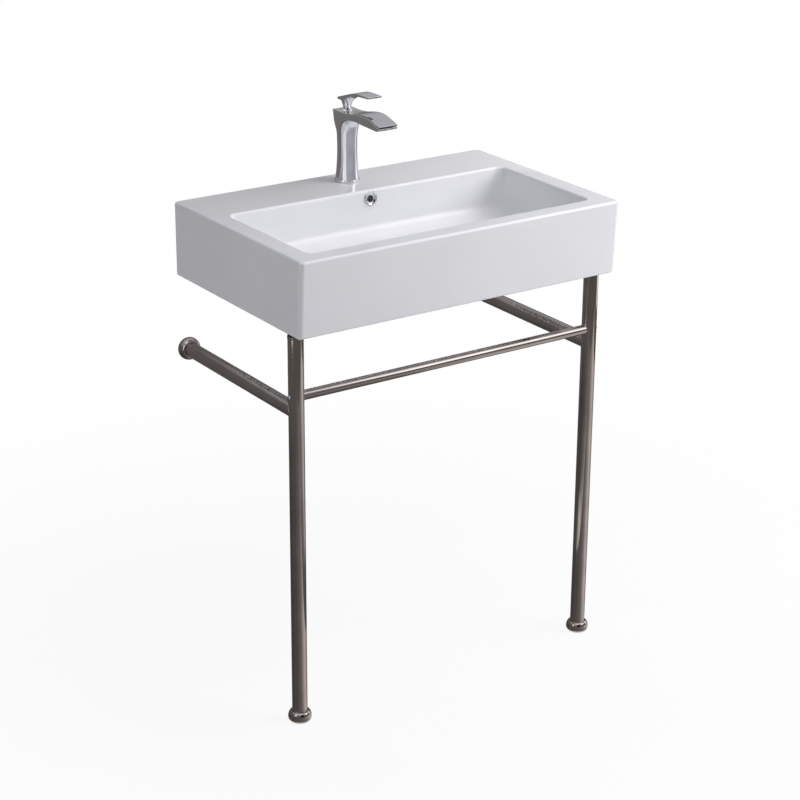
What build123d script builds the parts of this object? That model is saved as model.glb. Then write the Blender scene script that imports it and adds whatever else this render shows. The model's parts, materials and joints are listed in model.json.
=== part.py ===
from build123d import *
from math import atan2, cos, degrees, radians, sin
import os

# Console wash basin: a china basin hung on the wall, propped at its front corners by two
# tubular steel brackets, with a towel rail, a single-lever mixer and a click waste.
# Millimetres. X runs to the user's right, Y towards the wall, Z up.
# The origin is on the floor, under the middle of the basin.

# Basin, outside
basin_width = 680.0
basin_depth = 436.0
apron_height = 138.0
rim_height = 885.0
apron_lean = 8.0
apron_upright = 12.0
skirt_wall = 14.0
china = 12.0
corner_round = 7.0
rim_round = 5.0
foot_round = 3.0

# Bowl
side_rim = 39.0
front_rim = 38.0
tap_deck = 129.0
bowl_wall_drop = 88.0
bowl_drop = 101.0
side_slope = 22.0
end_slope = 6.0
bowl_corner = 14.0
bowl_floor_corner = 40.0
bowl_floor_round = 24.0
bowl_seat = 90.0
bowl_seat_corner = 34.0
bowl_turn_steps = 5
bowl_lip_round = 4.0

# Overflow
overflow_drop = 17.0
overflow_hole_r = 9.0
overflow_ring_r = 12.6
overflow_ring_lip = 2.2
overflow_ring_round = 1.3
overflow_ring_eye_r = 6.6
duct_width = 60.0
duct_wall = 11.0
duct_bore_width = 34.0
duct_bore = 10.0

# Waste
waste_hole_r = 22.5
waste_collar_r = 36.0
waste_collar_base = 2.0
waste_recess_r = 34.0
waste_recess = 3.0
waste_flange_r = 32.0
waste_flange = 3.0
waste_gasket = 1.5
waste_barrel_r = 20.9
waste_barrel_bore_r = 18.0
waste_barrel_length = 62.0
waste_washer = 6.0
waste_washer_r = 33.0
waste_nut = 12.0
waste_nut_r = 31.0
waste_nut_collar = 3.0
waste_nut_collar_r = 32.0
hex_sides = 6
waste_bridge = 6.0
waste_bridge_drop = 9.0
waste_slot_width = 20.0
tail_r = 16.0
tail_wall = 1.2
tail_length = 38.0
tail_neck_r = 15.6
tail_neck = 10.0
tail_socket = 6.0
waste_throat = 6.0
waste_throat_taper = 6.0

# Click stopper
cap_r = 30.0
cap_rise = 8.0
cap_edge = 2.0
cap_crown = 4.0
cap_boss_r = 14.0
cap_boss = 4.5
stopper_seal_r = 17.6
stopper_seal = 3.0
plunger_r = 3.5
plunger_length = 30.0
click_r = 5.0
click_flange_r = 8.0
click_flange = 2.0
click_length = 34.0
click_floor = 1.5
spring_r = 2.6
spring_wire = 0.45
spring_turns = 5

# Tap
tap_to_wall = 52.0
tap_hole_r = 17.5
base_ring_r = 23.5
base_ring = 4.5
base_ring_round = 1.6
base_seal = 2.0
column_foot_r = 21.4
column_calf_r = 19.6
column_waist_r = 18.9
column_waist_drop = 71.0
column_chest_r = 19.7
column_chest_drop = 37.0
column_facet = 0.7
column_shoulder_corner = 9.0
column_top_corner = 2.5
chest_overlap = 4.0
blade_width = 40.0
blade_height = 135.0
blade_back = 18.0
blade_plate = 2.6
spout_reach = 136.0
ribbon_sag = 0.5
spout_dip_reach = 39.5
spout_dip_rise = 1.5
spout_crest_reach = 77.5
spout_crest_rise = 8.3
spout_shoulder_reach = 102.0
spout_shoulder_drop = 1.3
spout_lip_drop = 2.8
lip_thickness = 7.0
lip_gap = 1.9
lip_gap_start = 100.0
lip_wall = 5.5
lip_end_wall = 6.5
spout_belly_drop = 12.5
spout_belly_reach = 100.5
spout_toe_reach = 128.0
spout_toe_drop = 0.7
spout_root_reach = 60.0
spout_root_rise = 1.5
spout_throat_reach = 34.0
spout_throat_drop = 2.5
spout_root_heading = (1, 0.05)
spout_chest_heading = (0.15, -1)
trough_width = 26.0
trough_floor = 4.0
trough_bridge = 7.0
trough_corner = 3.0
aerator_reach = 116.0
aerator_r = 11.0
aerator_eye_r = 8.6
aerator_height = 8.0
aerator_wall = 1.4
aerator_lip = 1.5
aerator_round = 0.6
aerator_stand = 1.4
aerator_insert = 5.0
aerator_seal = 2.5

# Mixing cartridge
chamber_r = 15.2
chamber_depth = 47.0
bonnet_bore_r = 17.5
bonnet_shelf_drop = 16.0
cartridge_floor = 8.0
cartridge_wall = 1.5
port_seal_r = 4.0
port_seal = 1.2
port_r = 2.2
outlet_port_back = 6.5
outlet_port_depth = 4.0
outlet_duct_roof = 2.5
outlet_duct_floor = 6.0
fixed_disc = 3.5
moving_disc = 3.5
moving_disc_r = 10.3
mixing_cavity = 1.5
mixing_slot = 3.4
mixing_margin = 1.0
carrier_height = 7.0
carrier_half_width = 9.0
carrier_pocket = 5.0
stem_tip_r = 3.0
stem_arm_r = 2.6
tip_play = 0.35
rotor_ear = 3.0
rotor_lug_inset = 0.8
rotor_lug_overlap = 1.0
pivot_pin_r = 1.5
bonnet_nut = 2.5
bonnet_nut_land = 1.0
bonnet_notch = 3.0
bonnet_notch_depth = 1.2
pivot_drop = 10.5
dome_r = 16.0
dome_shell = 2.0
dome_skirt_angle = 75.0
shank = 8.0
shank_rise = 10.0
shank_head_gap = 1.0

# Lever
lever_width = 30.0
lever_reach = 93.0
lever_back = 10.0
lever_thickness = 3.2
lever_tail_rise = 23.5
lever_tail = 4.0
lever_crest_rise = 43.0
lever_front_drop = 1.3
lever_slope_reach = 28.0
lever_slope_drop = 7.4
lever_bend_reach = 43.0
lever_bend_drop = 3.0
lever_flat_reach = 57.0
lever_belly_reach = 50.0
lever_belly_drop = 7.2
lever_root_reach = 22.3
lever_root_drop = 15.5
neck_r = 7.4
neck_corner = 7.0
neck_sink = 3.0
neck_top_drop = 14.4
neck_mid = (8.4, 8.0, 5.9)
neck_mid_share = 0.46
neck_flare = (11.4, 10.6, 3.0)
neck_flare_share = 0.73
neck_flare_front = 2.6
neck_head = (14.4, 15.4, 1.0)
neck_head_front = 7.4
grub_r = 2.0
grub_length = 3.6
grub_rise = 11.0
lift_angle = 20.0

# Tap fixing under the deck
body_recess_r = 16.5
body_recess = 16.0
inlet_r = 4.5
inlet_depth = 8.0
inlet_socket_r = 6.2
inlet_socket = 12.0
inlet_tail_r = 4.8
inlet_tail = 50.0
inlet_spigot_r = 5.0
inlet_spigot = 10.0
inlet_spacing = 14.0
inlet_back = 3.0
passage_r = 3.0
outlet_groove_width = 12.0
outlet_groove = 1.8
outlet_passage_r = 1.8
outlet_passage_spacing = 4.6
outlet_passage_start = 12.0
outlet_passage_drop = 9.5
outlet_passage = 24.0
outlet_passage_angle = 43.0
fixing_stud_r = 3.0
fixing_stud_front = 9.0
fixing_stud_hold = 12.0
fixing_stud_length = 62.0
fixing_plate_r = 24.0
fixing_plate = 2.0
fixing_gasket = 3.0
fixing_slot = 27.0
fixing_slot_back = 4.5
fixing_boss_r = 6.6
fixing_nut_r = 6.0
fixing_nut = 7.0

# Bracket frame
tube_r = 14.0
tube_wall = 1.2
leg_side_inset = 19.0
leg_front_inset = 50.0
leg_rest = 3.0
side_bar_drop = 145.0
rail_drop = 118.0
rail_r = 9.0
rail_wall = 1.2
plug_depth = 20.0
plug_stud_r = 4.0
support_plate_r = 18.0
support_plate = 4.0
support_stud_length = 18.0
support_pad_r = 16.0
support_pad = 7.0
land_width = 62.0
land_depth = 82.0
land_height = 30.0
flange_r = 21.5
flange_foot_r = 18.5
flange_height = 20.0
flange_widest = 8.0
flange_neck_r = 15.3
flange_swell_r = 20.8
flange_swell = 3.6
flange_shoulder_r = 19.6
flange_shoulder = 14.0
flange_screw_r = 2.5
flange_screw_length = 4.5
rail_screw_r = 3.0
rail_screw_head_r = 5.0
rail_screw_head = 3.2
rail_screw_grip = 13.0
rail_insert_length = 18.0

# Wall fixings
wall_bolt_spacing = 280.0
wall_bolt_drop = 60.0
wall_bolt_hole_r = 7.0

# Clearances
slip = 0.1
thread_gap = 0.05
hinge_gap = 0.05
free_gap = 0.3
overshoot = 5.0

# Places that follow from the sizes above
wall_y = basin_depth / 2
front_y = -basin_depth / 2
underside = rim_height - apron_height
bowl_half_x = basin_width / 2 - side_rim
bowl_front_y = front_y + front_rim
bowl_back_y = wall_y - tap_deck
bowl_half_y = (bowl_back_y - bowl_front_y) / 2
bowl_y = (bowl_back_y + bowl_front_y) / 2
bowl_floor = rim_height - bowl_drop
waste_seat = bowl_floor - waste_recess
waste_flange_base = waste_seat + waste_gasket
waste_flange_top = waste_flange_base + waste_flange
collar_base = underside + waste_collar_base
duct_floor = collar_base + 8.0
overflow_height = rim_height - overflow_drop
leg_x = basin_width / 2 - leg_side_inset
leg_y = front_y + leg_front_inset
side_bar_height = underside - side_bar_drop
rail_height = underside - rail_drop
pad_base = underside - support_pad
leg_top = pad_base - support_plate
tap_y = wall_y - tap_to_wall
pivot_height = blade_height - pivot_drop
column_waist = blade_height - column_waist_drop
column_chest = blade_height - column_chest_drop
spout_crest = blade_height + spout_crest_rise
spout_lip = blade_height - spout_lip_drop
spout_belly = blade_height - spout_belly_drop
chamber_floor = blade_height - chamber_depth
bonnet_shelf = blade_height - bonnet_shelf_drop
lever_tail_height = blade_height + lever_tail_rise
lever_crest_height = blade_height + lever_crest_rise
grub_height = blade_height + grub_rise
disc_base = chamber_floor + cartridge_floor
moving_base = disc_base + fixed_disc + hinge_gap
carrier_base = moving_base + moving_disc
carrier_top = carrier_base + carrier_height
rotor_base = carrier_top + 4 * free_gap
rotor_top = bonnet_shelf - slip
stem_arm = pivot_height - (carrier_top - carrier_pocket) - stem_tip_r - tip_play
disc_throw = stem_arm * sin(radians(lift_angle / 2))
recess_top = body_recess


# Simple solids, placed by their limits
def rod(r, z0, z1, x=0.0, y=0.0):
    return Pos(x, y, (z0 + z1) / 2) * Cylinder(r, z1 - z0)


def collar(r, bore_r, z0, z1, x=0.0, y=0.0):
    return rod(r, z0, z1, x, y) - rod(bore_r, z0 - overshoot, z1 + overshoot, x, y)


def rod_x(r, x0, x1, y, z):
    return Pos((x0 + x1) / 2, y, z) * Rot(0, 90, 0) * Cylinder(r, abs(x1 - x0))


def rod_y(r, y0, y1, x, z):
    return Pos(x, (y0 + y1) / 2, z) * Rot(90, 0, 0) * Cylinder(r, abs(y1 - y0))


def block(x0, x1, y0, y1, z0, z1):
    return Pos((x0 + x1) / 2, (y0 + y1) / 2, (z0 + z1) / 2) * Box(x1 - x0, y1 - y0, z1 - z0)


def turned(outline):
    return revolve(Plane.XZ * make_face(outline), Axis.Z)


def turned_points(*points):
    return turned(Polyline(*points, close=True))


# A shallow round dome on its flat base
def dome(r, rise):
    ball_r = (r**2 + rise**2) / (2 * rise)
    half_angle = atan2(r, ball_r - rise) / 2
    middle = (ball_r * sin(half_angle), ball_r * cos(half_angle) - ball_r + rise)
    return turned(Polyline((0, rise), (0, 0), (r, 0)) + ThreePointArc((r, 0), middle, (0, rise)))


def side_slab(outline, half_width):
    return extrude(Plane.YZ * make_face(outline), amount=half_width, both=True)


def rounded_level(half_x, half_y, corner, z, y=0.0):
    return Pos(0, y, z) * RectangleRounded(2 * half_x, 2 * half_y, corner)


# Bowl: the hollow itself, or with a growth its form from outside
def bowl_form(growth):
    foot_x = bowl_half_x - side_slope + growth
    foot_y = bowl_half_y - end_slope + growth
    foot_z = rim_height - bowl_wall_drop - growth
    turn = bowl_floor_round + growth
    seat = bowl_seat / 2 + growth
    sections = [rounded_level(seat, seat, bowl_seat_corner + growth, bowl_floor - growth, bowl_y)]
    for step in range(bowl_turn_steps + 1):
        angle = radians(90 * step / bowl_turn_steps)
        rise = turn * (1 - cos(angle))
        share = rise / bowl_wall_drop
        inset = turn * (1 - sin(angle))
        half_x = foot_x - inset + side_slope * share
        half_y = foot_y - inset + end_slope * share
        corner = bowl_floor_corner + growth - inset / 2
        sections.append(rounded_level(half_x, half_y, corner, foot_z + rise, bowl_y))
    half_x, half_y = bowl_half_x + growth, bowl_half_y + growth
    mouth = rounded_level(half_x, half_y, bowl_corner + growth, rim_height, bowl_y)
    sections.append(mouth)
    return loft(sections, ruled=True) + extrude(mouth, overshoot)


# Overflow: the hole behind the ring and the duct down the back wall to the waste
def on_bowl_back(shape):
    wall_tilt = degrees(atan2(end_slope, bowl_wall_drop))
    wall_here = bowl_back_y - overflow_drop * end_slope / bowl_wall_drop
    return Pos(0, wall_here, overflow_height) * Rot(-wall_tilt, 0, 0) * shape


def duct_outline(grow, floor_z, roof_z):
    back = bowl_back_y + china + duct_bore + grow
    front = bowl_back_y + china - grow
    return Polyline(
        (front, overflow_height + overflow_hole_r),
        (back, overflow_height + overflow_hole_r),
        (back, floor_z),
        (bowl_y, floor_z),
        (bowl_y, roof_z),
        (front, roof_z),
        close=True,
    )


def basin():
    outline = Polyline(
        (front_y, rim_height),
        (wall_y, rim_height),
        (wall_y, underside),
        (front_y + apron_lean, underside),
        (front_y, rim_height - apron_upright),
        close=True,
    )
    body = side_slab(outline, basin_width / 2)
    uprights = body.edges().filter_by(lambda edge: abs(edge.center().X) > bowl_half_x)
    uprights = uprights.filter_by(lambda edge: underside + slip < edge.center().Z < rim_height - slip)
    body = fillet(uprights, corner_round)
    body = fillet(body.edges().group_by(Axis.Z)[-1], rim_round)
    body = fillet(body.edges().group_by(Axis.Z)[0], foot_round)
    body -= bowl_form(0.0)
    mouth = body.edges().group_by(Axis.Z)[-1]
    mouth = mouth.filter_by(lambda edge: abs(edge.center().X) < bowl_half_x + slip)
    mouth = mouth.filter_by(lambda edge: bowl_front_y - slip < edge.center().Y < bowl_back_y + slip)
    body = fillet(mouth, bowl_lip_round)

    inner_x = basin_width / 2 - skirt_wall
    hollow = block(
        -inner_x,
        inner_x,
        front_y + apron_lean + skirt_wall,
        wall_y - skirt_wall,
        underside - overshoot,
        rim_height - china,
    )
    hollow -= bowl_form(china)
    hollow -= rod(waste_collar_r, collar_base, bowl_floor, 0, bowl_y)
    hollow -= side_slab(duct_outline(duct_wall, collar_base, bowl_floor), duct_width / 2)
    for side in (-1, 1):
        land_x = side * (basin_width / 2 - land_width / 2)
        hollow -= Pos(land_x, front_y + land_depth / 2, underside + land_height / 2) * Box(
            land_width, land_depth, land_height
        )
    body -= hollow
    body -= side_slab(duct_outline(0.0, duct_floor, duct_floor + duct_bore), duct_bore_width / 2)
    body -= on_bowl_back(rod_y(overflow_hole_r, -overshoot, china + end_slope, 0, 0))
    body -= rod(waste_hole_r, underside - overshoot, bowl_floor + overshoot, 0, bowl_y)
    body -= rod(waste_recess_r, waste_seat, bowl_floor + overshoot, 0, bowl_y)
    body -= rod(tap_hole_r, rim_height - china - overshoot, rim_height + overshoot, 0, tap_y)
    for side in (-1, 1):
        body -= rod_y(
            wall_bolt_hole_r,
            wall_y - skirt_wall - overshoot,
            wall_y + overshoot,
            side * wall_bolt_spacing / 2,
            rim_height - wall_bolt_drop,
        )
    return body


def overflow_ring():
    lip = rod_y(overflow_ring_r, -overflow_ring_lip, 0, 0, 0)
    lip = fillet(lip.edges().group_by(Axis.Y)[0], overflow_ring_round)
    ring = lip + rod_y(overflow_hole_r - slip, -overflow_ring_lip / 2, china / 2, 0, 0)
    return on_bowl_back(ring - rod_y(overflow_ring_eye_r, -overshoot, china, 0, 0))


# Waste: flanged body with its overflow slots, washers, back nut and tail pipe
def waste_body():
    base = waste_flange_base - waste_barrel_length
    skin = turned_points(
        (waste_barrel_bore_r, waste_flange_top - waste_flange / 2),
        (waste_barrel_bore_r + waste_flange, waste_flange_top),
        (waste_flange_r - waste_flange / 2, waste_flange_top),
        (waste_flange_r, waste_flange_base),
        (waste_barrel_r, waste_flange_base),
        (waste_barrel_r, base),
        (tail_neck_r + slip, base),
        (tail_neck_r + slip, base + tail_socket),
        (tail_r - tail_wall, base + tail_socket),
        (tail_r - tail_wall, base + tail_socket + waste_throat),
        (waste_barrel_bore_r, base + tail_socket + waste_throat + waste_throat_taper),
    )
    slots = block(
        -waste_slot_width / 2,
        waste_slot_width / 2,
        -2 * waste_barrel_r,
        2 * waste_barrel_r,
        duct_floor,
        duct_floor + duct_bore,
    )
    bridge_top = waste_flange_top - waste_bridge_drop
    bridge = block(
        -waste_barrel_bore_r - slip,
        waste_barrel_bore_r + slip,
        -click_r,
        click_r,
        bridge_top - waste_bridge,
        bridge_top,
    )
    bridge += rod(click_flange_r, bridge_top - waste_bridge, bridge_top)
    bridge -= rod(click_r + thread_gap, bridge_top - 2 * waste_bridge, bridge_top + overshoot)
    return Pos(0, bowl_y, 0) * (skin - slots + bridge)


def waste_gasket_ring():
    return collar(
        waste_flange_r - waste_gasket, waste_barrel_r + slip, waste_seat, waste_flange_base, 0, bowl_y
    )


def waste_washer_ring():
    washer = turned_points(
        (waste_barrel_r + slip, collar_base),
        (waste_washer_r, collar_base),
        (waste_washer_r, collar_base - waste_washer / 2),
        (waste_washer_r - waste_washer / 2, collar_base - waste_washer),
        (waste_barrel_r + slip, collar_base - waste_washer),
    )
    return Pos(0, bowl_y, 0) * washer


def waste_back_nut():
    top = collar_base - waste_washer
    hexagon = Pos(0, 0, top - waste_nut) * RegularPolygon(waste_nut_r, hex_sides)
    nut = extrude(hexagon, waste_nut - waste_nut_collar)
    nut += rod(waste_nut_collar_r, top - waste_nut_collar, top)
    nut -= rod(waste_barrel_r + thread_gap, top - 2 * waste_nut, top + overshoot)
    return Pos(0, bowl_y, 0) * nut


def tail_pipe():
    top = waste_flange_base - waste_barrel_length + tail_socket
    tube = rod(tail_r, top - tail_length, top - tail_neck) + rod(tail_neck_r, top - tail_length, top)
    tube -= rod(tail_r - tail_wall, top - 2 * tail_length, top + overshoot)
    return Pos(0, bowl_y, 0) * tube


# Click stopper: a screwed-in housing with a spring, and a plunger that carries the cap
def click_housing():
    top = waste_flange_top - waste_bridge_drop + click_flange
    floor = top - click_length
    shell = rod(click_r, floor, top) + rod(click_flange_r, top - click_flange, top)
    bore = rod(plunger_r + hinge_gap, floor + click_floor, top + overshoot)
    return Pos(0, bowl_y, 0) * (shell - bore)


def click_spring():
    floor = waste_flange_top - waste_bridge_drop + click_flange - click_length + click_floor
    height = plunger_foot() - floor - 2 * spring_wire
    coil = Helix(height / spring_turns, height, spring_r)
    start = Plane(origin=coil @ 0, z_dir=coil % 0)
    wire = sweep(start * Rectangle(2 * spring_wire, 2 * spring_wire), coil, is_frenet=True)
    return Pos(0, bowl_y, floor + spring_wire) * wire


def plunger_foot():
    return waste_flange_top + cap_rise + cap_boss - plunger_length


def click_plunger():
    top = waste_flange_top + cap_rise
    stem = rod(plunger_r, plunger_foot(), top, 0, bowl_y)
    return stem


def stopper_cap():
    base = waste_flange_top + cap_rise
    crown = rod(cap_r, base, base + cap_edge) + Pos(0, 0, base + cap_edge) * dome(cap_r, cap_crown)
    boss = rod(cap_boss_r, base - cap_boss, base)
    grip = rod(plunger_r + thread_gap, base - cap_boss - overshoot, base)
    return Pos(0, bowl_y, 0) * (crown + boss - grip)


def stopper_seal_ring():
    base = waste_flange_top + cap_rise
    return collar(stopper_seal_r, cap_boss_r + thread_gap, base - stopper_seal, base, 0, bowl_y)


# Tap: a column that turns into a flat spout, drawn about its own axis on the deck
def on_deck(shape):
    return Pos(0, tap_y, rim_height) * shape


def ribbon_line(drop=0.0):
    return Spline(
        (blade_back, blade_height - drop),
        (-blade_back, blade_height - ribbon_sag - drop),
        (-spout_dip_reach, blade_height + spout_dip_rise - drop),
        (-spout_crest_reach, spout_crest - drop),
        (-spout_shoulder_reach, spout_crest - spout_shoulder_drop - drop),
        (-spout_reach, spout_lip - drop),
    )


def column():
    levels = (
        (column_foot_r, column_foot_r, column_foot_r - column_facet, base_ring),
        (column_calf_r, column_calf_r, column_calf_r - column_facet, column_waist / 2),
        (column_waist_r, column_waist_r, column_waist_r - column_facet, column_waist),
        (column_chest_r, column_chest_r, column_chest_r - column_facet, column_chest - chest_overlap),
        (blade_width / 2, column_chest_r, column_shoulder_corner, (column_chest + blade_height) / 2),
        (blade_width / 2, (blade_width / 2 + blade_back) / 2, column_top_corner, blade_height),
    )
    sections = []
    for half_x, half_y, corner, level in levels:
        sections.append(rounded_level(half_x, half_y, corner, level, min(0.0, blade_back - half_y)))
    square_from = len(sections) // 2
    lower = loft(sections[: square_from + 1], ruled=True)
    return lower + loft(sections[square_from:], ruled=True)


def spout_block():
    under = (
        Spline(
            (-spout_reach, spout_lip - lip_thickness),
            (-spout_toe_reach, spout_belly - spout_toe_drop),
            (-spout_belly_reach, spout_belly),
            (-spout_root_reach, spout_belly + spout_root_rise),
        )
        + Spline(
            (-spout_root_reach, spout_belly + spout_root_rise),
            (-spout_throat_reach, spout_belly - spout_throat_drop),
            (-column_chest_r, column_chest + chest_overlap),
            tangents=[spout_root_heading, spout_chest_heading],
        )
    )
    shape = make_face(
        ribbon_line()
        + Line((-spout_reach, spout_lip), (-spout_reach, spout_lip - lip_thickness))
        + under
        + Polyline(
            (-column_chest_r, column_chest + chest_overlap),
            (0, column_chest + chest_overlap),
            (blade_back, blade_height),
        )
    )
    return extrude(Plane.YZ * shape, amount=blade_width / 2, both=True)


def plate_zone():
    shape = make_face(
        ribbon_line(blade_plate)
        + Polyline(
            (-spout_reach, spout_lip - blade_plate),
            (-spout_reach - overshoot, spout_lip - blade_plate),
            (-spout_reach - overshoot, spout_crest + overshoot),
            (blade_back + overshoot, spout_crest + overshoot),
            (blade_back + overshoot, blade_height - blade_plate),
            (blade_back, blade_height - blade_plate),
        )
    )
    return extrude(Plane.YZ * shape, amount=blade_width, both=True)


def tap_outside():
    roof = extrude(
        Plane.YZ
        * make_face(
            ribbon_line()
            + Polyline(
                (-spout_reach, spout_lip),
                (-spout_reach, spout_crest + overshoot),
                (blade_back + overshoot, spout_crest + overshoot),
                (blade_back + overshoot, blade_height),
                (blade_back, blade_height),
            )
        ),
        amount=blade_width,
        both=True,
    )
    return column() + spout_block() - roof


def spout_plate(outside):
    plate = outside & plate_zone()
    return on_deck(plate - Pos(0, 0, pivot_height) * Sphere(dome_r + free_gap))


def tap_body(outside):
    body = outside - plate_zone()
    gap_points = (
        (-lip_gap_start, spout_crest),
        (-lip_gap_start, spout_crest - spout_shoulder_drop - blade_plate),
        (-spout_reach - overshoot, spout_lip - blade_plate - lip_gap),
        (-spout_reach - overshoot, spout_crest),
    )
    gap = side_slab(Polyline(*gap_points, close=True), blade_width)
    rest = blade_width / 2 - lip_wall
    gap -= block(-rest, rest, -spout_reach + lip_end_wall, 0, spout_belly, spout_crest)
    body -= gap

    trough_end = -aerator_reach - aerator_eye_r
    trough_start = -bonnet_bore_r - trough_bridge
    half = trough_width / 2
    trough = block(-half, half, trough_end, trough_start, spout_belly + trough_floor, spout_crest)
    body -= fillet(trough.edges().filter_by(Axis.Z), trough_corner)
    aerator_top = spout_belly - aerator_stand + aerator_height
    body -= rod(aerator_r + slip, 0, aerator_top, 0, -aerator_reach)
    body -= rod(aerator_eye_r, 0, aerator_top + overshoot, 0, -aerator_reach)

    body -= rod(chamber_r, chamber_floor, blade_height)
    body -= rod(bonnet_bore_r, bonnet_shelf, blade_height)
    body -= rod(body_recess_r, 0, recess_top)
    body -= rod(fixing_stud_r + thread_gap, 0, recess_top + fixing_stud_hold, 0, -fixing_stud_front)
    for side in (-1, 1):
        inlet_x = side * inlet_spacing / 2
        body -= rod(inlet_spigot_r + thread_gap, recess_top, recess_top + inlet_spigot, inlet_x, inlet_back)
        body -= rod(passage_r, recess_top, chamber_floor + slip, inlet_x, inlet_back)
    groove_y = -chamber_r - outlet_groove
    outlet_foot = bonnet_shelf - outlet_passage_drop
    body -= block(
        -outlet_groove_width / 2,
        outlet_groove_width / 2,
        groove_y,
        groove_y + 2 * outlet_groove,
        chamber_floor,
        outlet_foot + outlet_passage_r,
    )
    rise = Cylinder(outlet_passage_r, outlet_passage, align=(Align.CENTER, Align.CENTER, Align.MIN))
    rise = Rot(outlet_passage_angle, 0, 0) * rise
    for offset in (-1, 0, 1):
        body -= Pos(offset * outlet_passage_spacing, -outlet_passage_start, outlet_foot) * rise
    return on_deck(body)


def tap_base_ring():
    ring = collar(base_ring_r, body_recess_r, 0, base_ring)
    ring = fillet(ring.edges().group_by(Axis.Z)[-1].sort_by(SortBy.LENGTH)[-1], base_ring_round)
    ring -= rod(column_foot_r + slip, -overshoot, base_seal)
    return on_deck(ring)


def tap_base_seal():
    return on_deck(collar(column_foot_r, body_recess_r + slip, 0, base_seal))


def inlet_tails():
    sockets = []
    for side in (-1, 1):
        low = -inlet_tail
        socket = rod(inlet_socket_r, low, low + inlet_socket) + rod(inlet_tail_r, low, recess_top)
        socket += rod(inlet_spigot_r, recess_top, recess_top + inlet_spigot)
        socket -= rod(inlet_r, low - overshoot, low + inlet_depth)
        socket -= rod(passage_r, low, recess_top + inlet_spigot + overshoot)
        sockets.append(on_deck(Pos(side * inlet_spacing / 2, inlet_back, 0) * socket))
    return Compound(children=sockets)


# Mixing cartridge, from its housing and ceramic discs up to the rotor and the stem
def cartridge_housing():
    outer_r = chamber_r - slip
    housing = rod(outer_r, chamber_floor, bonnet_shelf)
    housing -= rod(outer_r - cartridge_wall, disc_base, bonnet_shelf + overshoot)
    for side in (-1, 1):
        housing -= rod(port_r, chamber_floor - slip, disc_base + slip, side * inlet_spacing / 2, inlet_back)
        seal_top = chamber_floor + port_seal
        housing -= rod(port_seal_r, chamber_floor - slip, seal_top, side * inlet_spacing / 2, inlet_back)
    housing -= rod(port_r, disc_base - outlet_port_depth, disc_base + slip, 0, outlet_port_back)
    housing -= block(
        -port_r,
        port_r,
        -chamber_r - overshoot,
        outlet_port_back + port_r,
        disc_base - outlet_duct_floor,
        disc_base - outlet_duct_roof,
    )
    return on_deck(housing)


def port_seals():
    rings = []
    for side in (-1, 1):
        ring = collar(port_seal_r - thread_gap, port_r + slip, chamber_floor, chamber_floor + port_seal)
        rings.append(on_deck(Pos(side * inlet_spacing / 2, inlet_back, 0) * ring))
    return Compound(children=rings)


def fixed_disc_plate():
    disc_r = chamber_r - slip - cartridge_wall - slip
    disc = rod(disc_r, disc_base, disc_base + fixed_disc)
    for side in (-1, 1):
        disc -= rod(port_r, 0, blade_height, side * inlet_spacing / 2, inlet_back)
    disc -= rod(port_r, 0, blade_height, 0, outlet_port_back)
    return on_deck(disc)


def moving_disc_plate():
    disc = rod(moving_disc_r, moving_base, moving_base + moving_disc)
    near = inlet_back + port_r + free_gap - disc_throw
    far = moving_disc_r - mixing_margin
    roof = moving_base + mixing_cavity
    cavity = block(-inlet_spacing / 2, inlet_spacing / 2, near, near + mixing_slot, 0, roof)
    cavity += block(-port_r - mixing_margin, port_r + mixing_margin, near, far, 0, roof)
    return on_deck(Pos(0, disc_throw, 0) * (disc - cavity))


def disc_carrier():
    carrier = rod(moving_disc_r, carrier_base, carrier_top)
    carrier &= block(
        -carrier_half_width, carrier_half_width, -moving_disc_r, moving_disc_r, carrier_base, carrier_top
    )
    pocket = stem_tip_r + free_gap
    pocket_floor = carrier_top - carrier_pocket
    carrier -= block(-pocket, pocket, -pocket, pocket, pocket_floor, carrier_top + overshoot)
    return on_deck(Pos(0, disc_throw, 0) * carrier)


def rotor():
    ring_r = chamber_r - slip - cartridge_wall - slip
    ear_in = shank / 2 + free_gap
    ear_out = ear_in + rotor_ear
    body = rod(ring_r, rotor_base, rotor_top)
    slot_y = disc_throw + shank / 2
    body -= block(-ear_in, ear_in, -slot_y, slot_y, 0, blade_height)
    for side in (-1, 1):
        ear = block(-rotor_ear / 2, rotor_ear / 2, -shank / 2, shank / 2, rotor_base, pivot_height)
        ear += Pos(0, 0, pivot_height) * Rot(0, 90, 0) * Cylinder(shank / 2, rotor_ear)
        body += Pos(side * (ear_in + ear_out) / 2, 0, 0) * ear
        lug_in = carrier_half_width + free_gap
        lug_foot = carrier_base + rotor_lug_overlap
        lug_out = ring_r - rotor_lug_inset
        lug = block(lug_in, lug_out, -shank / 2, shank / 2, lug_foot, rotor_base + rotor_lug_overlap)
        body += Rot(0, 0, 90 - 90 * side) * lug
    body -= rod_x(pivot_pin_r, -chamber_r, chamber_r, 0, pivot_height)
    return on_deck(body)


def pivot_pin():
    reach = shank / 2 + free_gap + rotor_ear
    return on_deck(rod_x(pivot_pin_r, -reach, reach, 0, pivot_height))


def stem():
    top = pivot_height + dome_r + shank_rise
    half = shank / 2
    upper = block(-half, half, -half, half, pivot_height, top)
    upper += Pos(0, 0, pivot_height) * Rot(0, 90, 0) * Cylinder(half, shank)
    arm = rod(stem_arm_r, -stem_arm, 0) + Pos(0, 0, -stem_arm) * Sphere(stem_tip_r)
    upper += Pos(0, 0, pivot_height) * Rot(lift_angle / 2, 0, 0) * arm
    upper -= rod_x(pivot_pin_r + hinge_gap, -chamber_r, chamber_r, 0, pivot_height)
    return on_deck(upper)


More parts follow.
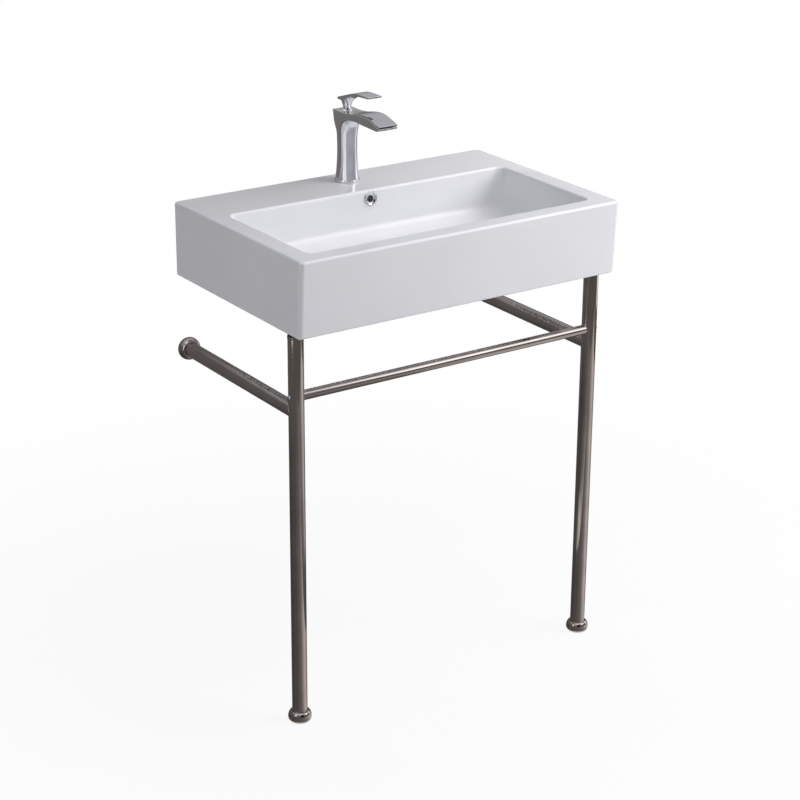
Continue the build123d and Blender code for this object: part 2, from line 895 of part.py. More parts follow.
def bonnet_nut_ring():
    top = bonnet_shelf + bonnet_nut
    eye_r = chamber_r - slip - cartridge_wall - bonnet_nut_land
    ring = collar(bonnet_bore_r - thread_gap, eye_r, bonnet_shelf, top)
    half = bonnet_notch / 2
    reach = chamber_r + overshoot
    for turn in (0, 90):
        notch = block(-half, half, -reach, reach, top - bonnet_notch_depth, top + overshoot)
        ring -= Rot(0, 0, turn) * (notch - rod(chamber_r - slip, 0, blade_height))
    return on_deck(ring)


# Lever: a domed cap under the plate, a wedge-shaped neck and a thin blade
def lever_dome():
    shell = Sphere(dome_r) - Sphere(dome_r - dome_shell)
    skirt = dome_r * cos(radians(dome_skirt_angle))
    shell -= block(-dome_r, dome_r, -dome_r, dome_r, -dome_r - overshoot, skirt)
    gap = shank / 2 + slip
    shell -= block(-gap, gap, -gap, gap, 0, dome_r + overshoot)
    return on_deck(Pos(0, 0, pivot_height) * shell)


def lever():
    front_height = lever_crest_height - lever_front_drop
    top = Spline(
        (lever_back, lever_tail_height),
        (-lever_slope_reach, lever_crest_height - lever_slope_drop),
        (-lever_bend_reach, lever_crest_height - lever_bend_drop),
        (-lever_flat_reach, front_height),
        (-lever_reach, front_height),
    )
    tail_foot = lever_tail_height - lever_tail
    under = Polyline(
        (-lever_reach, front_height),
        (-lever_reach, front_height - lever_thickness),
        (-lever_belly_reach, lever_crest_height - lever_belly_drop),
        (-lever_root_reach, lever_crest_height - lever_root_drop),
        (-neck_r, tail_foot),
        (lever_back - slip, tail_foot),
        (lever_back, lever_tail_height),
    )
    blade = extrude(Plane.YZ * make_face(top + under), amount=lever_width / 2, both=True)
    neck_base = pivot_height + dome_r - neck_sink
    neck_rise = lever_crest_height - neck_top_drop - neck_base
    neck = loft(
        [
            rounded_level(neck_r, neck_r, neck_corner, neck_base),
            rounded_level(*neck_mid, neck_base + neck_rise * neck_mid_share),
            rounded_level(*neck_flare, neck_base + neck_rise * neck_flare_share, -neck_flare_front),
            rounded_level(*neck_head, neck_base + neck_rise, -neck_head_front),
        ],
        ruled=True,
    )
    roof = extrude(
        Plane.YZ
        * make_face(
            top
            + Polyline(
                (-lever_reach, front_height),
                (-lever_reach, lever_crest_height + lever_reach),
                (lever_back, lever_crest_height + lever_reach),
                (lever_back, lever_tail_height),
            )
        ),
        amount=lever_width,
        both=True,
    )
    body = blade + neck - roof
    body -= Pos(0, 0, pivot_height) * Sphere(dome_r)
    gap = shank / 2 + slip
    shank_top = pivot_height + dome_r + shank_rise + shank_head_gap
    body -= block(-gap, gap, -gap, gap, pivot_height, shank_top)
    body -= rod_y(grub_r + thread_gap, shank / 2, lever_back + overshoot, 0, grub_height)
    return on_deck(body)


def lever_screw():
    return on_deck(rod_y(grub_r, shank / 2, shank / 2 + grub_length, 0, grub_height))


# Aerator under the spout's end
def aerator_base():
    return spout_belly - aerator_stand


def aerator_housing():
    base = aerator_base()
    bore = aerator_r - aerator_wall
    shell = turned_points(
        (aerator_eye_r, base),
        (aerator_r - aerator_round, base),
        (aerator_r, base + aerator_round),
        (aerator_r, base + aerator_height),
        (bore, base + aerator_height),
        (bore, base + aerator_lip),
        (aerator_eye_r, base + aerator_lip),
    )
    return on_deck(Pos(0, -aerator_reach, 0) * shell)


def aerator_cartridge():
    base = aerator_base() + aerator_lip
    insert = rod(aerator_r - aerator_wall - slip, base, base + aerator_insert, 0, -aerator_reach)
    return on_deck(insert)


def aerator_seal_ring():
    base = aerator_base() + aerator_lip + aerator_insert
    top = aerator_base() + aerator_height
    outer_r = aerator_r - aerator_wall - slip
    return on_deck(collar(outer_r, outer_r - aerator_seal, base, top, 0, -aerator_reach))


# Tap fixing: a stud with a gasket, a horseshoe plate and a nut under the deck
def fixing_stud():
    top = recess_top + fixing_stud_hold
    return on_deck(rod(fixing_stud_r, top - fixing_stud_length, top, 0, -fixing_stud_front))


def horseshoe(thickness, top, grow):
    plate = rod(fixing_plate_r, top - thickness, top)
    half = fixing_slot / 2
    below = top - 2 * thickness
    plate -= rod(half, below, top + overshoot, 0, fixing_slot_back)
    plate -= block(-half, half, fixing_slot_back, 2 * fixing_plate_r, below, top + overshoot)
    plate += rod(fixing_boss_r, top - thickness, top, 0, -fixing_stud_front)
    plate -= rod(fixing_stud_r + grow, top - 2 * thickness, top + overshoot, 0, -fixing_stud_front)
    return on_deck(plate)


def fixing_gasket_plate():
    return horseshoe(fixing_gasket, -china, slip)


def fixing_steel_plate():
    return horseshoe(fixing_plate, -china - fixing_gasket, 2 * slip)


def fixing_nut_hex():
    top = -china - fixing_gasket - fixing_plate
    hexagon = Pos(0, -fixing_stud_front, top - fixing_nut) * RegularPolygon(fixing_nut_r, hex_sides)
    nut = extrude(hexagon, fixing_nut)
    nut -= rod(fixing_stud_r + thread_gap, top - 2 * fixing_nut, top + overshoot, 0, -fixing_stud_front)
    return on_deck(nut)


# Bracket frame: two tube legs with side bars to the wall, and a rail between the legs
def leg(side):
    x = side * leg_x
    tube = collar(tube_r, tube_r - tube_wall, leg_rest, leg_top, x, leg_y)
    return tube - rod_x(rail_screw_r + free_gap, x - 2 * tube_r, x + 2 * tube_r, leg_y, rail_height)


def cope():
    saddle = rod(tube_r + thread_gap, 0, leg_top, -leg_x, leg_y)
    return saddle + rod(tube_r + thread_gap, 0, leg_top, leg_x, leg_y)


def plug_r():
    return tube_r - tube_wall - slip


def leg_top_plugs():
    plugs = [
        collar(plug_r(), plug_stud_r + thread_gap, leg_top - plug_depth, leg_top, side * leg_x, leg_y)
        for side in (-1, 1)
    ]
    return Compound(children=plugs)


def leg_foot_plugs():
    plugs = []
    for side in (-1, 1):
        x = side * leg_x
        plugs.append(rod(tube_r, 0, leg_rest, x, leg_y) + rod(plug_r(), 0, leg_rest + plug_depth, x, leg_y))
    return Compound(children=plugs)


def support_plates():
    plates = []
    for side in (-1, 1):
        x = side * leg_x
        plate = rod(support_plate_r, leg_top, pad_base, x, leg_y)
        plates.append(plate + rod(plug_stud_r, leg_top - support_stud_length, pad_base, x, leg_y))
    return Compound(children=plates)


def support_pads():
    pads = [rod(support_pad_r, pad_base, underside, side * leg_x, leg_y) for side in (-1, 1)]
    return Compound(children=pads)


def flange_dome():
    widest = (flange_r, flange_widest)
    neck = (flange_neck_r, flange_height)
    bore = tube_r + slip
    shape = (
        Line((bore, 0), (flange_foot_r, 0))
        + ThreePointArc((flange_foot_r, 0), (flange_swell_r, flange_swell), widest)
        + ThreePointArc(widest, (flange_shoulder_r, flange_shoulder), neck)
        + Polyline(neck, (bore, flange_height), (bore, 0))
    )
    dome = revolve(Plane.XZ * make_face(shape), Axis.Z)
    return dome - rod_y(flange_screw_r + thread_gap, 0, flange_r * 2, 0, flange_widest)


def floor_flange(side):
    return Pos(side * leg_x, leg_y, 0) * flange_dome()


def on_wall(side):
    return Pos(side * leg_x, wall_y, side_bar_height) * Rot(90, 0, 0)


def wall_flange(side):
    return on_wall(side) * Rot(0, 0, 180) * flange_dome()


def flange_set_screws():
    tip = tube_r
    screw = rod_y(flange_screw_r, tip, tip + flange_screw_length, 0, flange_widest)
    screws = []
    for side in (-1, 1):
        screws.append(Pos(side * leg_x, leg_y, 0) * screw)
        screws.append(on_wall(side) * Rot(0, 0, 180) * screw)
    return Compound(children=screws)


def side_bar(side):
    x = side * leg_x
    bar = rod_y(tube_r, leg_y, wall_y - leg_rest, x, side_bar_height)
    bar -= rod_y(tube_r - tube_wall, leg_y - overshoot, wall_y, x, side_bar_height)
    return bar - cope()


def bar_end_plugs():
    plugs = []
    for side in (-1, 1):
        x = side * leg_x
        plug = rod_y(tube_r, wall_y - leg_rest, wall_y, x, side_bar_height)
        plug += rod_y(plug_r(), wall_y - leg_rest - plug_depth, wall_y, x, side_bar_height)
        plugs.append(plug - rod_y(plug_stud_r, 0, wall_y + overshoot, x, side_bar_height))
    return Compound(children=plugs)


def front_rail():
    rail = rod_x(rail_r, -leg_x, leg_x, leg_y, rail_height)
    rail -= rod_x(rail_r - rail_wall, -leg_x, leg_x, leg_y, rail_height)
    return rail - cope()


def rail_inserts():
    inserts = []
    for side in (-1, 1):
        start = side * (leg_x - tube_r - rail_insert_length)
        insert = rod_x(rail_r - rail_wall - slip, start, side * (leg_x - tube_r + 2), leg_y, rail_height)
        bore_start = start - overshoot * side
        insert -= rod_x(rail_screw_r + thread_gap, bore_start, side * leg_x, leg_y, rail_height)
        inserts.append(insert - cope())
    return Compound(children=inserts)


def rail_screws():
    screws = []
    for side in (-1, 1):
        seat = leg_x + tube_r
        tip = seat - 2 * tube_r - rail_screw_grip
        screw = dome(rail_screw_head_r, rail_screw_head) + rod(rail_screw_r, tip - seat, 0)
        screws.append(Pos(side * seat, leg_y, rail_height) * Rot(0, 90 * side, 0) * screw)
    return Compound(children=screws)


# Every node, under its name
tap_form = tap_outside()
nodes = {
    "basin": basin(),
    "overflow_ring": overflow_ring(),
    "waste_body": waste_body(),
    "waste_gasket": waste_gasket_ring(),
    "waste_washer": waste_washer_ring(),
    "waste_nut": waste_back_nut(),
    "tailpiece": tail_pipe(),
    "click_housing": click_housing(),
    "click_spring": click_spring(),
    "click_plunger": click_plunger(),
    "stopper_cap": stopper_cap(),
    "stopper_seal": stopper_seal_ring(),
    "tap_body": tap_body(tap_form),
    "spout_plate": spout_plate(tap_form),
    "tap_base_ring": tap_base_ring(),
    "tap_base_seal": tap_base_seal(),
    "inlet_tails": inlet_tails(),
    "cartridge_housing": cartridge_housing(),
    "port_seals": port_seals(),
    "fixed_disc": fixed_disc_plate(),
    "moving_disc": moving_disc_plate(),
    "disc_carrier": disc_carrier(),
    "rotor": rotor(),
    "pivot_pin": pivot_pin(),
    "stem": stem(),
    "bonnet_nut": bonnet_nut_ring(),
    "lever_dome": lever_dome(),
    "lever": lever(),
    "lever_screw": lever_screw(),
    "aerator_housing": aerator_housing(),
    "aerator_insert": aerator_cartridge(),
    "aerator_seal": aerator_seal_ring(),
    "fixing_stud": fixing_stud(),
    "fixing_gasket": fixing_gasket_plate(),
    "fixing_plate": fixing_steel_plate(),
    "fixing_nut": fixing_nut_hex(),
    "leg_left": leg(-1),
    "leg_right": leg(1),
    "leg_top_plugs": leg_top_plugs(),
    "leg_foot_plugs": leg_foot_plugs(),
    "support_plates": support_plates(),
    "support_pads": support_pads(),
    "floor_flange_left": floor_flange(-1),
    "floor_flange_right": floor_flange(1),
    "side_bar_left": side_bar(-1),
    "side_bar_right": side_bar(1),
    "bar_end_plugs": bar_end_plugs(),
    "wall_flange_left": wall_flange(-1),
    "wall_flange_right": wall_flange(1),
    "flange_set_screws": flange_set_screws(),
    "front_rail": front_rail(),
    "rail_inserts": rail_inserts(),
    "rail_screws": rail_screws(),
}

os.makedirs("parts", exist_ok=True)
for name, shape in nodes.items():
    export_step(shape, f"parts/{name}.step")
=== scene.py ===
# %% [markdown]
# # A china basin on steel brackets, dressed for the studio
#
# The object is a rectangular wash basin that hangs on a wall and is propped at its front
# corners by two tubular brackets, with a towel rail between them and a lever mixer on its deck.
# The solids come first, as a fixed frame in metres. Everything made here is laid over that
# frame, so each piece reads its place from the solid that it stands for instead of repeating it.

# %% Load the fixed frame
import bmesh
import bpy
import json
import math
from mathutils import Matrix, Vector


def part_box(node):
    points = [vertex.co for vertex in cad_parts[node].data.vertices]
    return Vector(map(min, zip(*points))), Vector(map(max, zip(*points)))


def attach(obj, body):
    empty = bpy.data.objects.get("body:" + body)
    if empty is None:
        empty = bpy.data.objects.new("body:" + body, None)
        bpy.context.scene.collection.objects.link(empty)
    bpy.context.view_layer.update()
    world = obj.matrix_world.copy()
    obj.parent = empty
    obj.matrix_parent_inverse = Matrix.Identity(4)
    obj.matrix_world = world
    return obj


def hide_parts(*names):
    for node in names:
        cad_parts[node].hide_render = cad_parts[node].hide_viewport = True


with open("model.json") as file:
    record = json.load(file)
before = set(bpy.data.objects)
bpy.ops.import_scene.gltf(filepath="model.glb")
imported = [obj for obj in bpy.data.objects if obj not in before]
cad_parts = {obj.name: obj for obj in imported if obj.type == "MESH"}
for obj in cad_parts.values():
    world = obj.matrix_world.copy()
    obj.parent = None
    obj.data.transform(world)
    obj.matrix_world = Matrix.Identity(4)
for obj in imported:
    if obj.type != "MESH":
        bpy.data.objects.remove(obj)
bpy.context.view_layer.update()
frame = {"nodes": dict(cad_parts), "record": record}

MM = 0.001

# %% [markdown]
# ## Places that every piece shares
#
# A designer would write the main heights and centre lines down once. Here they are measured
# from the solids, so that the looks follow whenever the solids change.

# %% Measure the solids
basin_low, basin_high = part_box("basin")
RIM = basin_high.z
UNDER = basin_low.z
HALF_WIDTH = basin_high.x
WALL_Y = basin_high.y
FRONT_Y = basin_low.y
leg_low, leg_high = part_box("leg_right")
LEG_X = (leg_low.x + leg_high.x) / 2
LEG_Y = (leg_low.y + leg_high.y) / 2
TUBE_R = (leg_high.x - leg_low.x) / 2
ring_low, ring_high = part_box("tap_base_ring")
TAP_Y = (ring_low.y + ring_high.y) / 2
waste_low, waste_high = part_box("waste_body")
WASTE_Y = (waste_low.y + waste_high.y) / 2
rail_low, rail_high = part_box("front_rail")
RAIL_Z = (rail_low.z + rail_high.z) / 2
RAIL_R = (rail_high.z - rail_low.z) / 2
bar_low, bar_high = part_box("side_bar_right")
BAR_Z = (bar_low.z + bar_high.z) / 2
BAR_END = bar_high.y
print(f"rim {RIM:.3f} m, legs at {LEG_X:.3f}, {LEG_Y:.3f}, tap at {TAP_Y:.3f}")

# %% [markdown]
# ## Meshes from rings
#
# Most pieces here are skins over a row of closed rings: a tube, a turned flange, a bowl.
# Blender could also spin a curve or subdivide a cage, but rings written as points give exact
# roundings and even quads, and glossy finishes show every uneven quad.

# %% Turn rings into a mesh
def finish_mesh(name, bm, smooth_angle=32.0):
    bmesh.ops.remove_doubles(bm, verts=bm.verts, dist=1e-6)
    bmesh.ops.delete(bm, geom=[edge for edge in bm.edges if not edge.link_faces], context="EDGES")
    bmesh.ops.recalc_face_normals(bm, faces=bm.faces)
    mesh = bpy.data.meshes.new(name)
    bm.to_mesh(mesh)
    bm.free()
    mesh.shade_smooth()
    mesh.set_sharp_from_angle(angle=math.radians(smooth_angle))
    piece = bpy.data.objects.new(name, mesh)
    bpy.context.scene.collection.objects.link(piece)
    return piece


def skin(bm, rings, around=True, along=False, cap_first=False, cap_last=False):
    rows = [[bm.verts.new(point) for point in ring] for ring in rings]
    count = len(rows[0])
    pairs = list(zip(rows, rows[1:]))
    if along:
        pairs.append((rows[-1], rows[0]))
    for low, high in pairs:
        for k in range(count if around else count - 1):
            m = (k + 1) % count
            bm.faces.new((low[k], low[m], high[m], high[k]))
    if cap_first:
        bm.faces.new(rows[0])
    if cap_last:
        bm.faces.new(rows[-1])
    return rows


def ring_piece(name, rings, smooth_angle=32.0, **ends):
    bm = bmesh.new()
    skin(bm, rings, **ends)
    return finish_mesh(name, bm, smooth_angle)


# %% Rings: a circle about an axis, and a rounded rectangle in any plane
def circle_ring(centre, radius, axis="Z", steps=96):
    ring = []
    for k in range(steps):
        a = 2 * math.pi * k / steps
        u, v = radius * math.cos(a), radius * math.sin(a)
        offset = {"Z": (u, v, 0), "Y": (u, 0, v), "X": (0, u, v)}[axis]
        ring.append(Vector(centre) + Vector(offset))
    return ring


def rounded_ring(centre, across, up, half_across, half_up, corner, arc=10, low_corner=None):
    top_corner = min(corner, half_across, half_up)
    low_corner = top_corner if low_corner is None else min(low_corner, half_across, half_up)
    ring = []
    for quarter, (sx, sy) in enumerate(((1, 1), (-1, 1), (-1, -1), (1, -1))):
        corner = top_corner if sy > 0 else low_corner
        for k in range(arc + 1):
            a = math.pi / 2 * (quarter + k / arc)
            u = sx * (half_across - corner) + corner * math.cos(a)
            v = sy * (half_up - corner) + corner * math.sin(a)
            ring.append(Vector(centre) + Vector(across) * u + Vector(up) * v)
    return ring


def level_ring(half_x, half_y, corner, z, y=0.0, arc=10):
    return rounded_ring((0, y, z), (1, 0, 0), (0, 1, 0), half_x, half_y, corner, arc)


# %% Smooth rows of values, roundings and turned pieces
def smooth_rows(rows, per_span=4):
    dense = []
    for k in range(len(rows) - 1):
        before = rows[max(k - 1, 0)]
        after = rows[min(k + 2, len(rows) - 1)]
        for step in range(per_span):
            t = step / per_span
            row = []
            for p0, p1, p2, p3 in zip(before, rows[k], rows[k + 1], after):
                bend = 2 * p0 - 5 * p1 + 4 * p2 - p3
                twist = -p0 + 3 * p1 - 3 * p2 + p3
                row.append(0.5 * (2 * p1 + (p2 - p0) * t + bend * t**2 + twist * t**3))
            dense.append(tuple(row))
    return dense + [tuple(rows[-1])]


def eased(points, radius, steps=4):
    rounded = []
    count = len(points)
    for k, point in enumerate(points):
        here = Vector(point)
        if here.x < 1e-9:
            rounded.append(here)
            continue
        back = Vector(points[k - 1]) - here
        ahead = Vector(points[(k + 1) % count]) - here
        cut = min(radius, back.length * 0.45, ahead.length * 0.45)
        start, end = here + back.normalized() * cut, here + ahead.normalized() * cut
        for step in range(steps + 1):
            t = step / steps
            rounded.append(start * (1 - t) ** 2 + here * 2 * t * (1 - t) + end * t**2)
    return rounded


def turned_piece(name, outline, centre=(0, 0, 0), axis="Z", steps=96, ease=0.0, sign=1):
    outline = [Vector((p[0], p[1])) for p in outline]
    outline = eased(outline, ease) if ease else outline
    rings = []
    for radius, height in outline:
        shift = {"Z": (0, 0, height), "Y": (0, height, 0), "X": (height, 0, 0)}[axis]
        rings.append(circle_ring(Vector(centre) + sign * Vector(shift), radius, axis, steps))
    return ring_piece(name, rings, along=True)


def turned_bm(bm, outline, centre=(0, 0, 0), axis="Z", steps=96, ease=0.0, sign=1):
    outline = [Vector((p[0], p[1])) for p in outline]
    outline = eased(outline, ease) if ease else outline
    rings = []
    for radius, height in outline:
        shift = {"Z": (0, 0, height), "Y": (0, height, 0), "X": (height, 0, 0)}[axis]
        rings.append(circle_ring(Vector(centre) + sign * Vector(shift), radius, axis, steps))
    skin(bm, rings, along=True)


# %% [markdown]
# Some forms are easiest as one solid cut by or joined to another. Blender's exact boolean does
# that; the cutter is thrown away, and the result is read back as a plain mesh.

# %% Join and cut pieces, and copy a solid with merged corners
def combine(piece, others, operation, smooth_angle=32.0):
    for other in others:
        step = piece.modifiers.new("combine", "BOOLEAN")
        step.operation = operation
        step.solver = "EXACT"
        step.object = other
    bpy.context.view_layer.update()
    ready = piece.evaluated_get(bpy.context.evaluated_depsgraph_get())
    mesh = bpy.data.meshes.new_from_object(ready)
    piece.modifiers.clear()
    piece.data = mesh
    for other in others:
        bpy.data.objects.remove(other)
    bm = bmesh.new()
    bm.from_mesh(mesh)
    bmesh.ops.remove_doubles(bm, verts=bm.verts, dist=2e-6)
    bmesh.ops.dissolve_degenerate(bm, edges=bm.edges, dist=2e-6)
    bm.to_mesh(mesh)
    bm.free()
    mesh.shade_smooth()
    mesh.set_sharp_from_angle(angle=math.radians(smooth_angle))
    return piece


def even_shading(piece):
    weighted = piece.modifiers.new("even_shading", "WEIGHTED_NORMAL")
    weighted.keep_sharp = True
    weighted.weight = 60
    return piece


def merged_copy(name, node, smooth_angle=30.0):
    bm = bmesh.new()
    bm.from_mesh(frame["nodes"][node].data)
    bmesh.ops.remove_doubles(bm, verts=bm.verts, dist=1e-6)
    mesh = bpy.data.meshes.new(name)
    bm.to_mesh(mesh)
    bm.free()
    mesh.shade_smooth()
    mesh.set_sharp_from_angle(angle=math.radians(smooth_angle))
    piece = bpy.data.objects.new(name, mesh)
    bpy.context.scene.collection.objects.link(piece)
    return even_shading(piece)


def dress(piece, finish, slot, body, *nodes):
    piece.data.materials.clear()
    piece.data.materials.append(finish)
    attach(piece, body)
    if nodes:
        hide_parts(*nodes)
    print(f"{piece.name}: {len(piece.data.polygons)} faces, in place of {list(nodes) or 'nothing'}")
    return piece

# %% [markdown]
# ## Finishes
#
# Each finish is a small node tree over Object coordinates, so a pattern has its real size in
# metres and stays put when a body moves. A colour that never changes looks like paint in a
# computer, so each tree lets a soft noise shift the colour and the roughness a little.

# %% A base for every finish
def node_of(tree, kind, **values):
    node = tree.nodes.new(kind)
    for key, value in values.items():
        if hasattr(node, key):
            setattr(node, key, value)
        else:
            node.inputs[key.replace("_", " ").title()].default_value = value
    return node


def noise_into(tree, coordinates, scale, detail=3.0, stretch=(1, 1, 1)):
    mapping = node_of(tree, "ShaderNodeMapping")
    mapping.inputs["Scale"].default_value = stretch
    noise = node_of(tree, "ShaderNodeTexNoise")
    noise.inputs["Scale"].default_value = scale
    noise.inputs["Detail"].default_value = detail
    tree.links.new(coordinates, mapping.inputs["Vector"])
    tree.links.new(mapping.outputs["Vector"], noise.inputs["Vector"])
    return noise.outputs["Fac"]


def ramp_between(tree, value, low, high, start=0.35, end=0.65):
    ramp = node_of(tree, "ShaderNodeValToRGB")
    ramp.color_ramp.elements[0].position = start
    ramp.color_ramp.elements[1].position = end
    ramp.color_ramp.elements[0].color = (*low, 1)
    ramp.color_ramp.elements[1].color = (*high, 1)
    tree.links.new(value, ramp.inputs["Fac"])
    return ramp.outputs["Color"]


def range_between(tree, value, low, high):
    spread = node_of(tree, "ShaderNodeMapRange")
    spread.inputs["From Min"].default_value = 0.3
    spread.inputs["From Max"].default_value = 0.7
    spread.inputs["To Min"].default_value = low
    spread.inputs["To Max"].default_value = high
    tree.links.new(value, spread.inputs["Value"])
    return spread.outputs["Result"]


def finish_of(name, low, high, metallic, rough, patch=14.0, bump=None, **fixed):
    material = bpy.data.materials.new(name)
    material.use_nodes = True
    tree = material.node_tree
    shader = tree.nodes["Principled BSDF"]
    shader.inputs["Metallic"].default_value = metallic
    for key, value in fixed.items():
        shader.inputs[key.replace("_", " ")].default_value = value
    coordinates = node_of(tree, "ShaderNodeTexCoord").outputs["Object"]
    cloud = noise_into(tree, coordinates, patch)
    tree.links.new(ramp_between(tree, cloud, low, high), shader.inputs["Base Color"])
    fine = noise_into(tree, coordinates, patch * 6, 4.0)
    tree.links.new(range_between(tree, fine, *rough), shader.inputs["Roughness"])
    if bump:
        scale, height, stretch = bump
        relief = node_of(tree, "ShaderNodeBump")
        relief.inputs["Strength"].default_value = 1.0
        relief.inputs["Distance"].default_value = height
        grain = noise_into(tree, coordinates, scale, 2.0, stretch)
        tree.links.new(grain, relief.inputs["Height"])
        tree.links.new(relief.outputs["Normal"], shader.inputs["Normal"])
    return material


# %% [markdown]
# Glazed china is a white body under a clear glass skin. The skin is the shader's coat, the body
# is nearly rough, and a very slow bump gives the slight pull that a fired glaze has.

# %% China, chrome and polished steel
china = finish_of(
    "china_glaze",
    (0.795, 0.793, 0.825),
    (0.825, 0.824, 0.850),
    0.0,
    (0.16, 0.22),
    6.0,
    (9.0, 0.0006, (1, 1, 1)),
    Coat_Weight=0.6,
    Coat_Roughness=0.03,
    IOR=1.5,
)
# unglazed china set far below its own colour: painted shade, used only for the hollow behind the overflow's eye
duct_shade_china = finish_of(
    "unglazed_china_painted_shade", (0.30, 0.29, 0.28), (0.40, 0.39, 0.37), 0.0, (0.75, 0.9), 40.0, (400.0, 0.0002, (1, 1, 1))
)
chrome = finish_of(
    "polished_chrome", (0.74, 0.745, 0.77), (0.80, 0.805, 0.83), 1.0, (0.025, 0.06), 30.0, (25.0, 0.00004, (1, 1, 1))
)
# polished steel with its base colour set darker and browner than bare steel: partly the steel's own tone, partly
# painted shade of the dark room that the tubes reflect
steel = finish_of(
    "polished_tube",
    (0.42, 0.378, 0.356),
    (0.48, 0.436, 0.414),
    1.0,
    (0.06, 0.11),
    18.0,
    (60.0, 0.000015, (1, 1, 0.12)),
)
print("finishes:", [m.name for m in bpy.data.materials])

# %% [markdown]
# The rest are seen less: bright screws and washers, machined brass, two rubbers, two moulded
# plastics, and the lapped alumina of the discs inside the tap.

# %% Small parts' finishes
bright_steel = finish_of(
    "bright_steel", (0.50, 0.50, 0.51), (0.60, 0.60, 0.61), 1.0, (0.18, 0.3), 60.0, (900.0, 0.00003, (1, 1, 1))
)
brass = finish_of(
    "machined_brass", (0.62, 0.44, 0.20), (0.70, 0.52, 0.26), 1.0, (0.2, 0.32), 50.0, (700.0, 0.00004, (1, 1, 6))
)
rubber = finish_of(
    "black_rubber", (0.016, 0.016, 0.017), (0.028, 0.028, 0.030), 0.0, (0.55, 0.75), 80.0, (1200.0, 0.00005, (1, 1, 1))
)
white_rubber = finish_of(
    "white_rubber", (0.66, 0.66, 0.64), (0.74, 0.74, 0.72), 0.0, (0.5, 0.65), 80.0, (1200.0, 0.00005, (1, 1, 1))
)
white_plastic = finish_of(
    "white_plastic", (0.72, 0.72, 0.70), (0.78, 0.78, 0.76), 0.0, (0.35, 0.45), 60.0, (1500.0, 0.00003, (1, 1, 1))
)
grey_plastic = finish_of(
    "grey_plastic", (0.10, 0.105, 0.115), (0.14, 0.145, 0.155), 0.0, (0.38, 0.5), 60.0, (1500.0, 0.00004, (1, 1, 1))
)
alumina = finish_of(
    "lapped_alumina", (0.76, 0.74, 0.68), (0.82, 0.80, 0.74), 0.0, (0.25, 0.35), 90.0, (2500.0, 0.00001, (1, 1, 1))
)
finish_by_slot = {
    "glazed_china": china,
    "chrome": chrome,
    "stainless": steel,
    "spring_steel": bright_steel,
    "brass": brass,
    "rubber": rubber,
    "white_rubber": white_rubber,
    "white_plastic": white_plastic,
    "grey_plastic": grey_plastic,
    "disc_ceramic": alumina,
}
for part in frame["record"]["subparts"]:
    solid = frame["nodes"][part["node"]]
    solid.data.materials.clear()
    solid.data.materials.append(finish_by_slot[part["material_slot"]])

# %% [markdown]
# ## The camera
#
# The camera stands where the photographer's did, in front and to the left, a little above the
# rim. Its distance and its long lens set how fast the two sides run together.

# %% Place the camera
CAMERA_PLACE = Vector((-2.1197, -3.1119, 1.9765))
CAMERA_YAW, CAMERA_PITCH, CAMERA_ROLL = 0.600, 0.374, 0.007
CAMERA_LENS_MM = 97.22
camera_data = bpy.data.cameras.new("photo_camera")
camera = bpy.data.objects.new("photo_camera", camera_data)
bpy.context.scene.collection.objects.link(camera)
ahead = Vector(
    (
        math.sin(CAMERA_YAW) * math.cos(CAMERA_PITCH),
        math.cos(CAMERA_YAW) * math.cos(CAMERA_PITCH),
        -math.sin(CAMERA_PITCH),
    )
)
level = Vector((math.cos(CAMERA_YAW), -math.sin(CAMERA_YAW), 0))
upright = level.cross(ahead)
right = level * math.cos(CAMERA_ROLL) + upright * math.sin(CAMERA_ROLL)
top = upright * math.cos(CAMERA_ROLL) - level * math.sin(CAMERA_ROLL)
camera.matrix_world = Matrix.Translation(CAMERA_PLACE) @ Matrix((right, top, -ahead)).transposed().to_4x4()
camera_data.lens = CAMERA_LENS_MM
camera_data.sensor_width = 36.0
camera_data.clip_end = 50.0
bpy.context.scene.camera = camera
print("camera at", [round(v, 3) for v in CAMERA_PLACE])

# %% [markdown]
# ## The basin
#
# Slip-cast china has no sharp edge: the rim, the mouth of the bowl, the bowl's foot and the
# apron's corners all roll over. The whole basin, inside and out, is one skin over rounded
# rectangles, from the waste hole up through the bowl, over the rim, down the apron and back
# under the bowl. A subdivided cage could do this too, but here each rounding keeps its real size.

# %% The basin's sizes
SIDE_RIM, FRONT_RIM, DECK = 0.039, 0.038, 0.129
APRON_WALL, CHINA = 0.014, 0.012
LEAN, UPRIGHT_BAND = 0.008, 0.012
CORNER_ROUND, RIM_ROUND, FOOT_ROUND = 0.0085, 0.005, 0.003
MOUTH_CORNER, MOUTH_ROUND = 0.016, 0.005
FOOT_CORNER, BOWL_FOOT_ROUND = 0.040, 0.026
SIDE_SLOPE, END_SLOPE, WALL_DROP = 0.022, 0.006, 0.088
WASTE_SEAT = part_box("waste_gasket")[0].z
WASTE_R, SEAT_R = 0.0225, 0.034
BOWL_FLOOR = WASTE_SEAT + 0.003
COLLAR_R, COLLAR_BASE = 0.036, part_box("waste_washer")[1].z
MOUTH_X = HALF_WIDTH - SIDE_RIM
MOUTH_Y = (WALL_Y - DECK - FRONT_Y - FRONT_RIM) / 2
print(f"bowl mouth {2 * MOUTH_X:.3f} by {2 * MOUTH_Y:.3f} m, floor at {BOWL_FLOOR:.3f}")


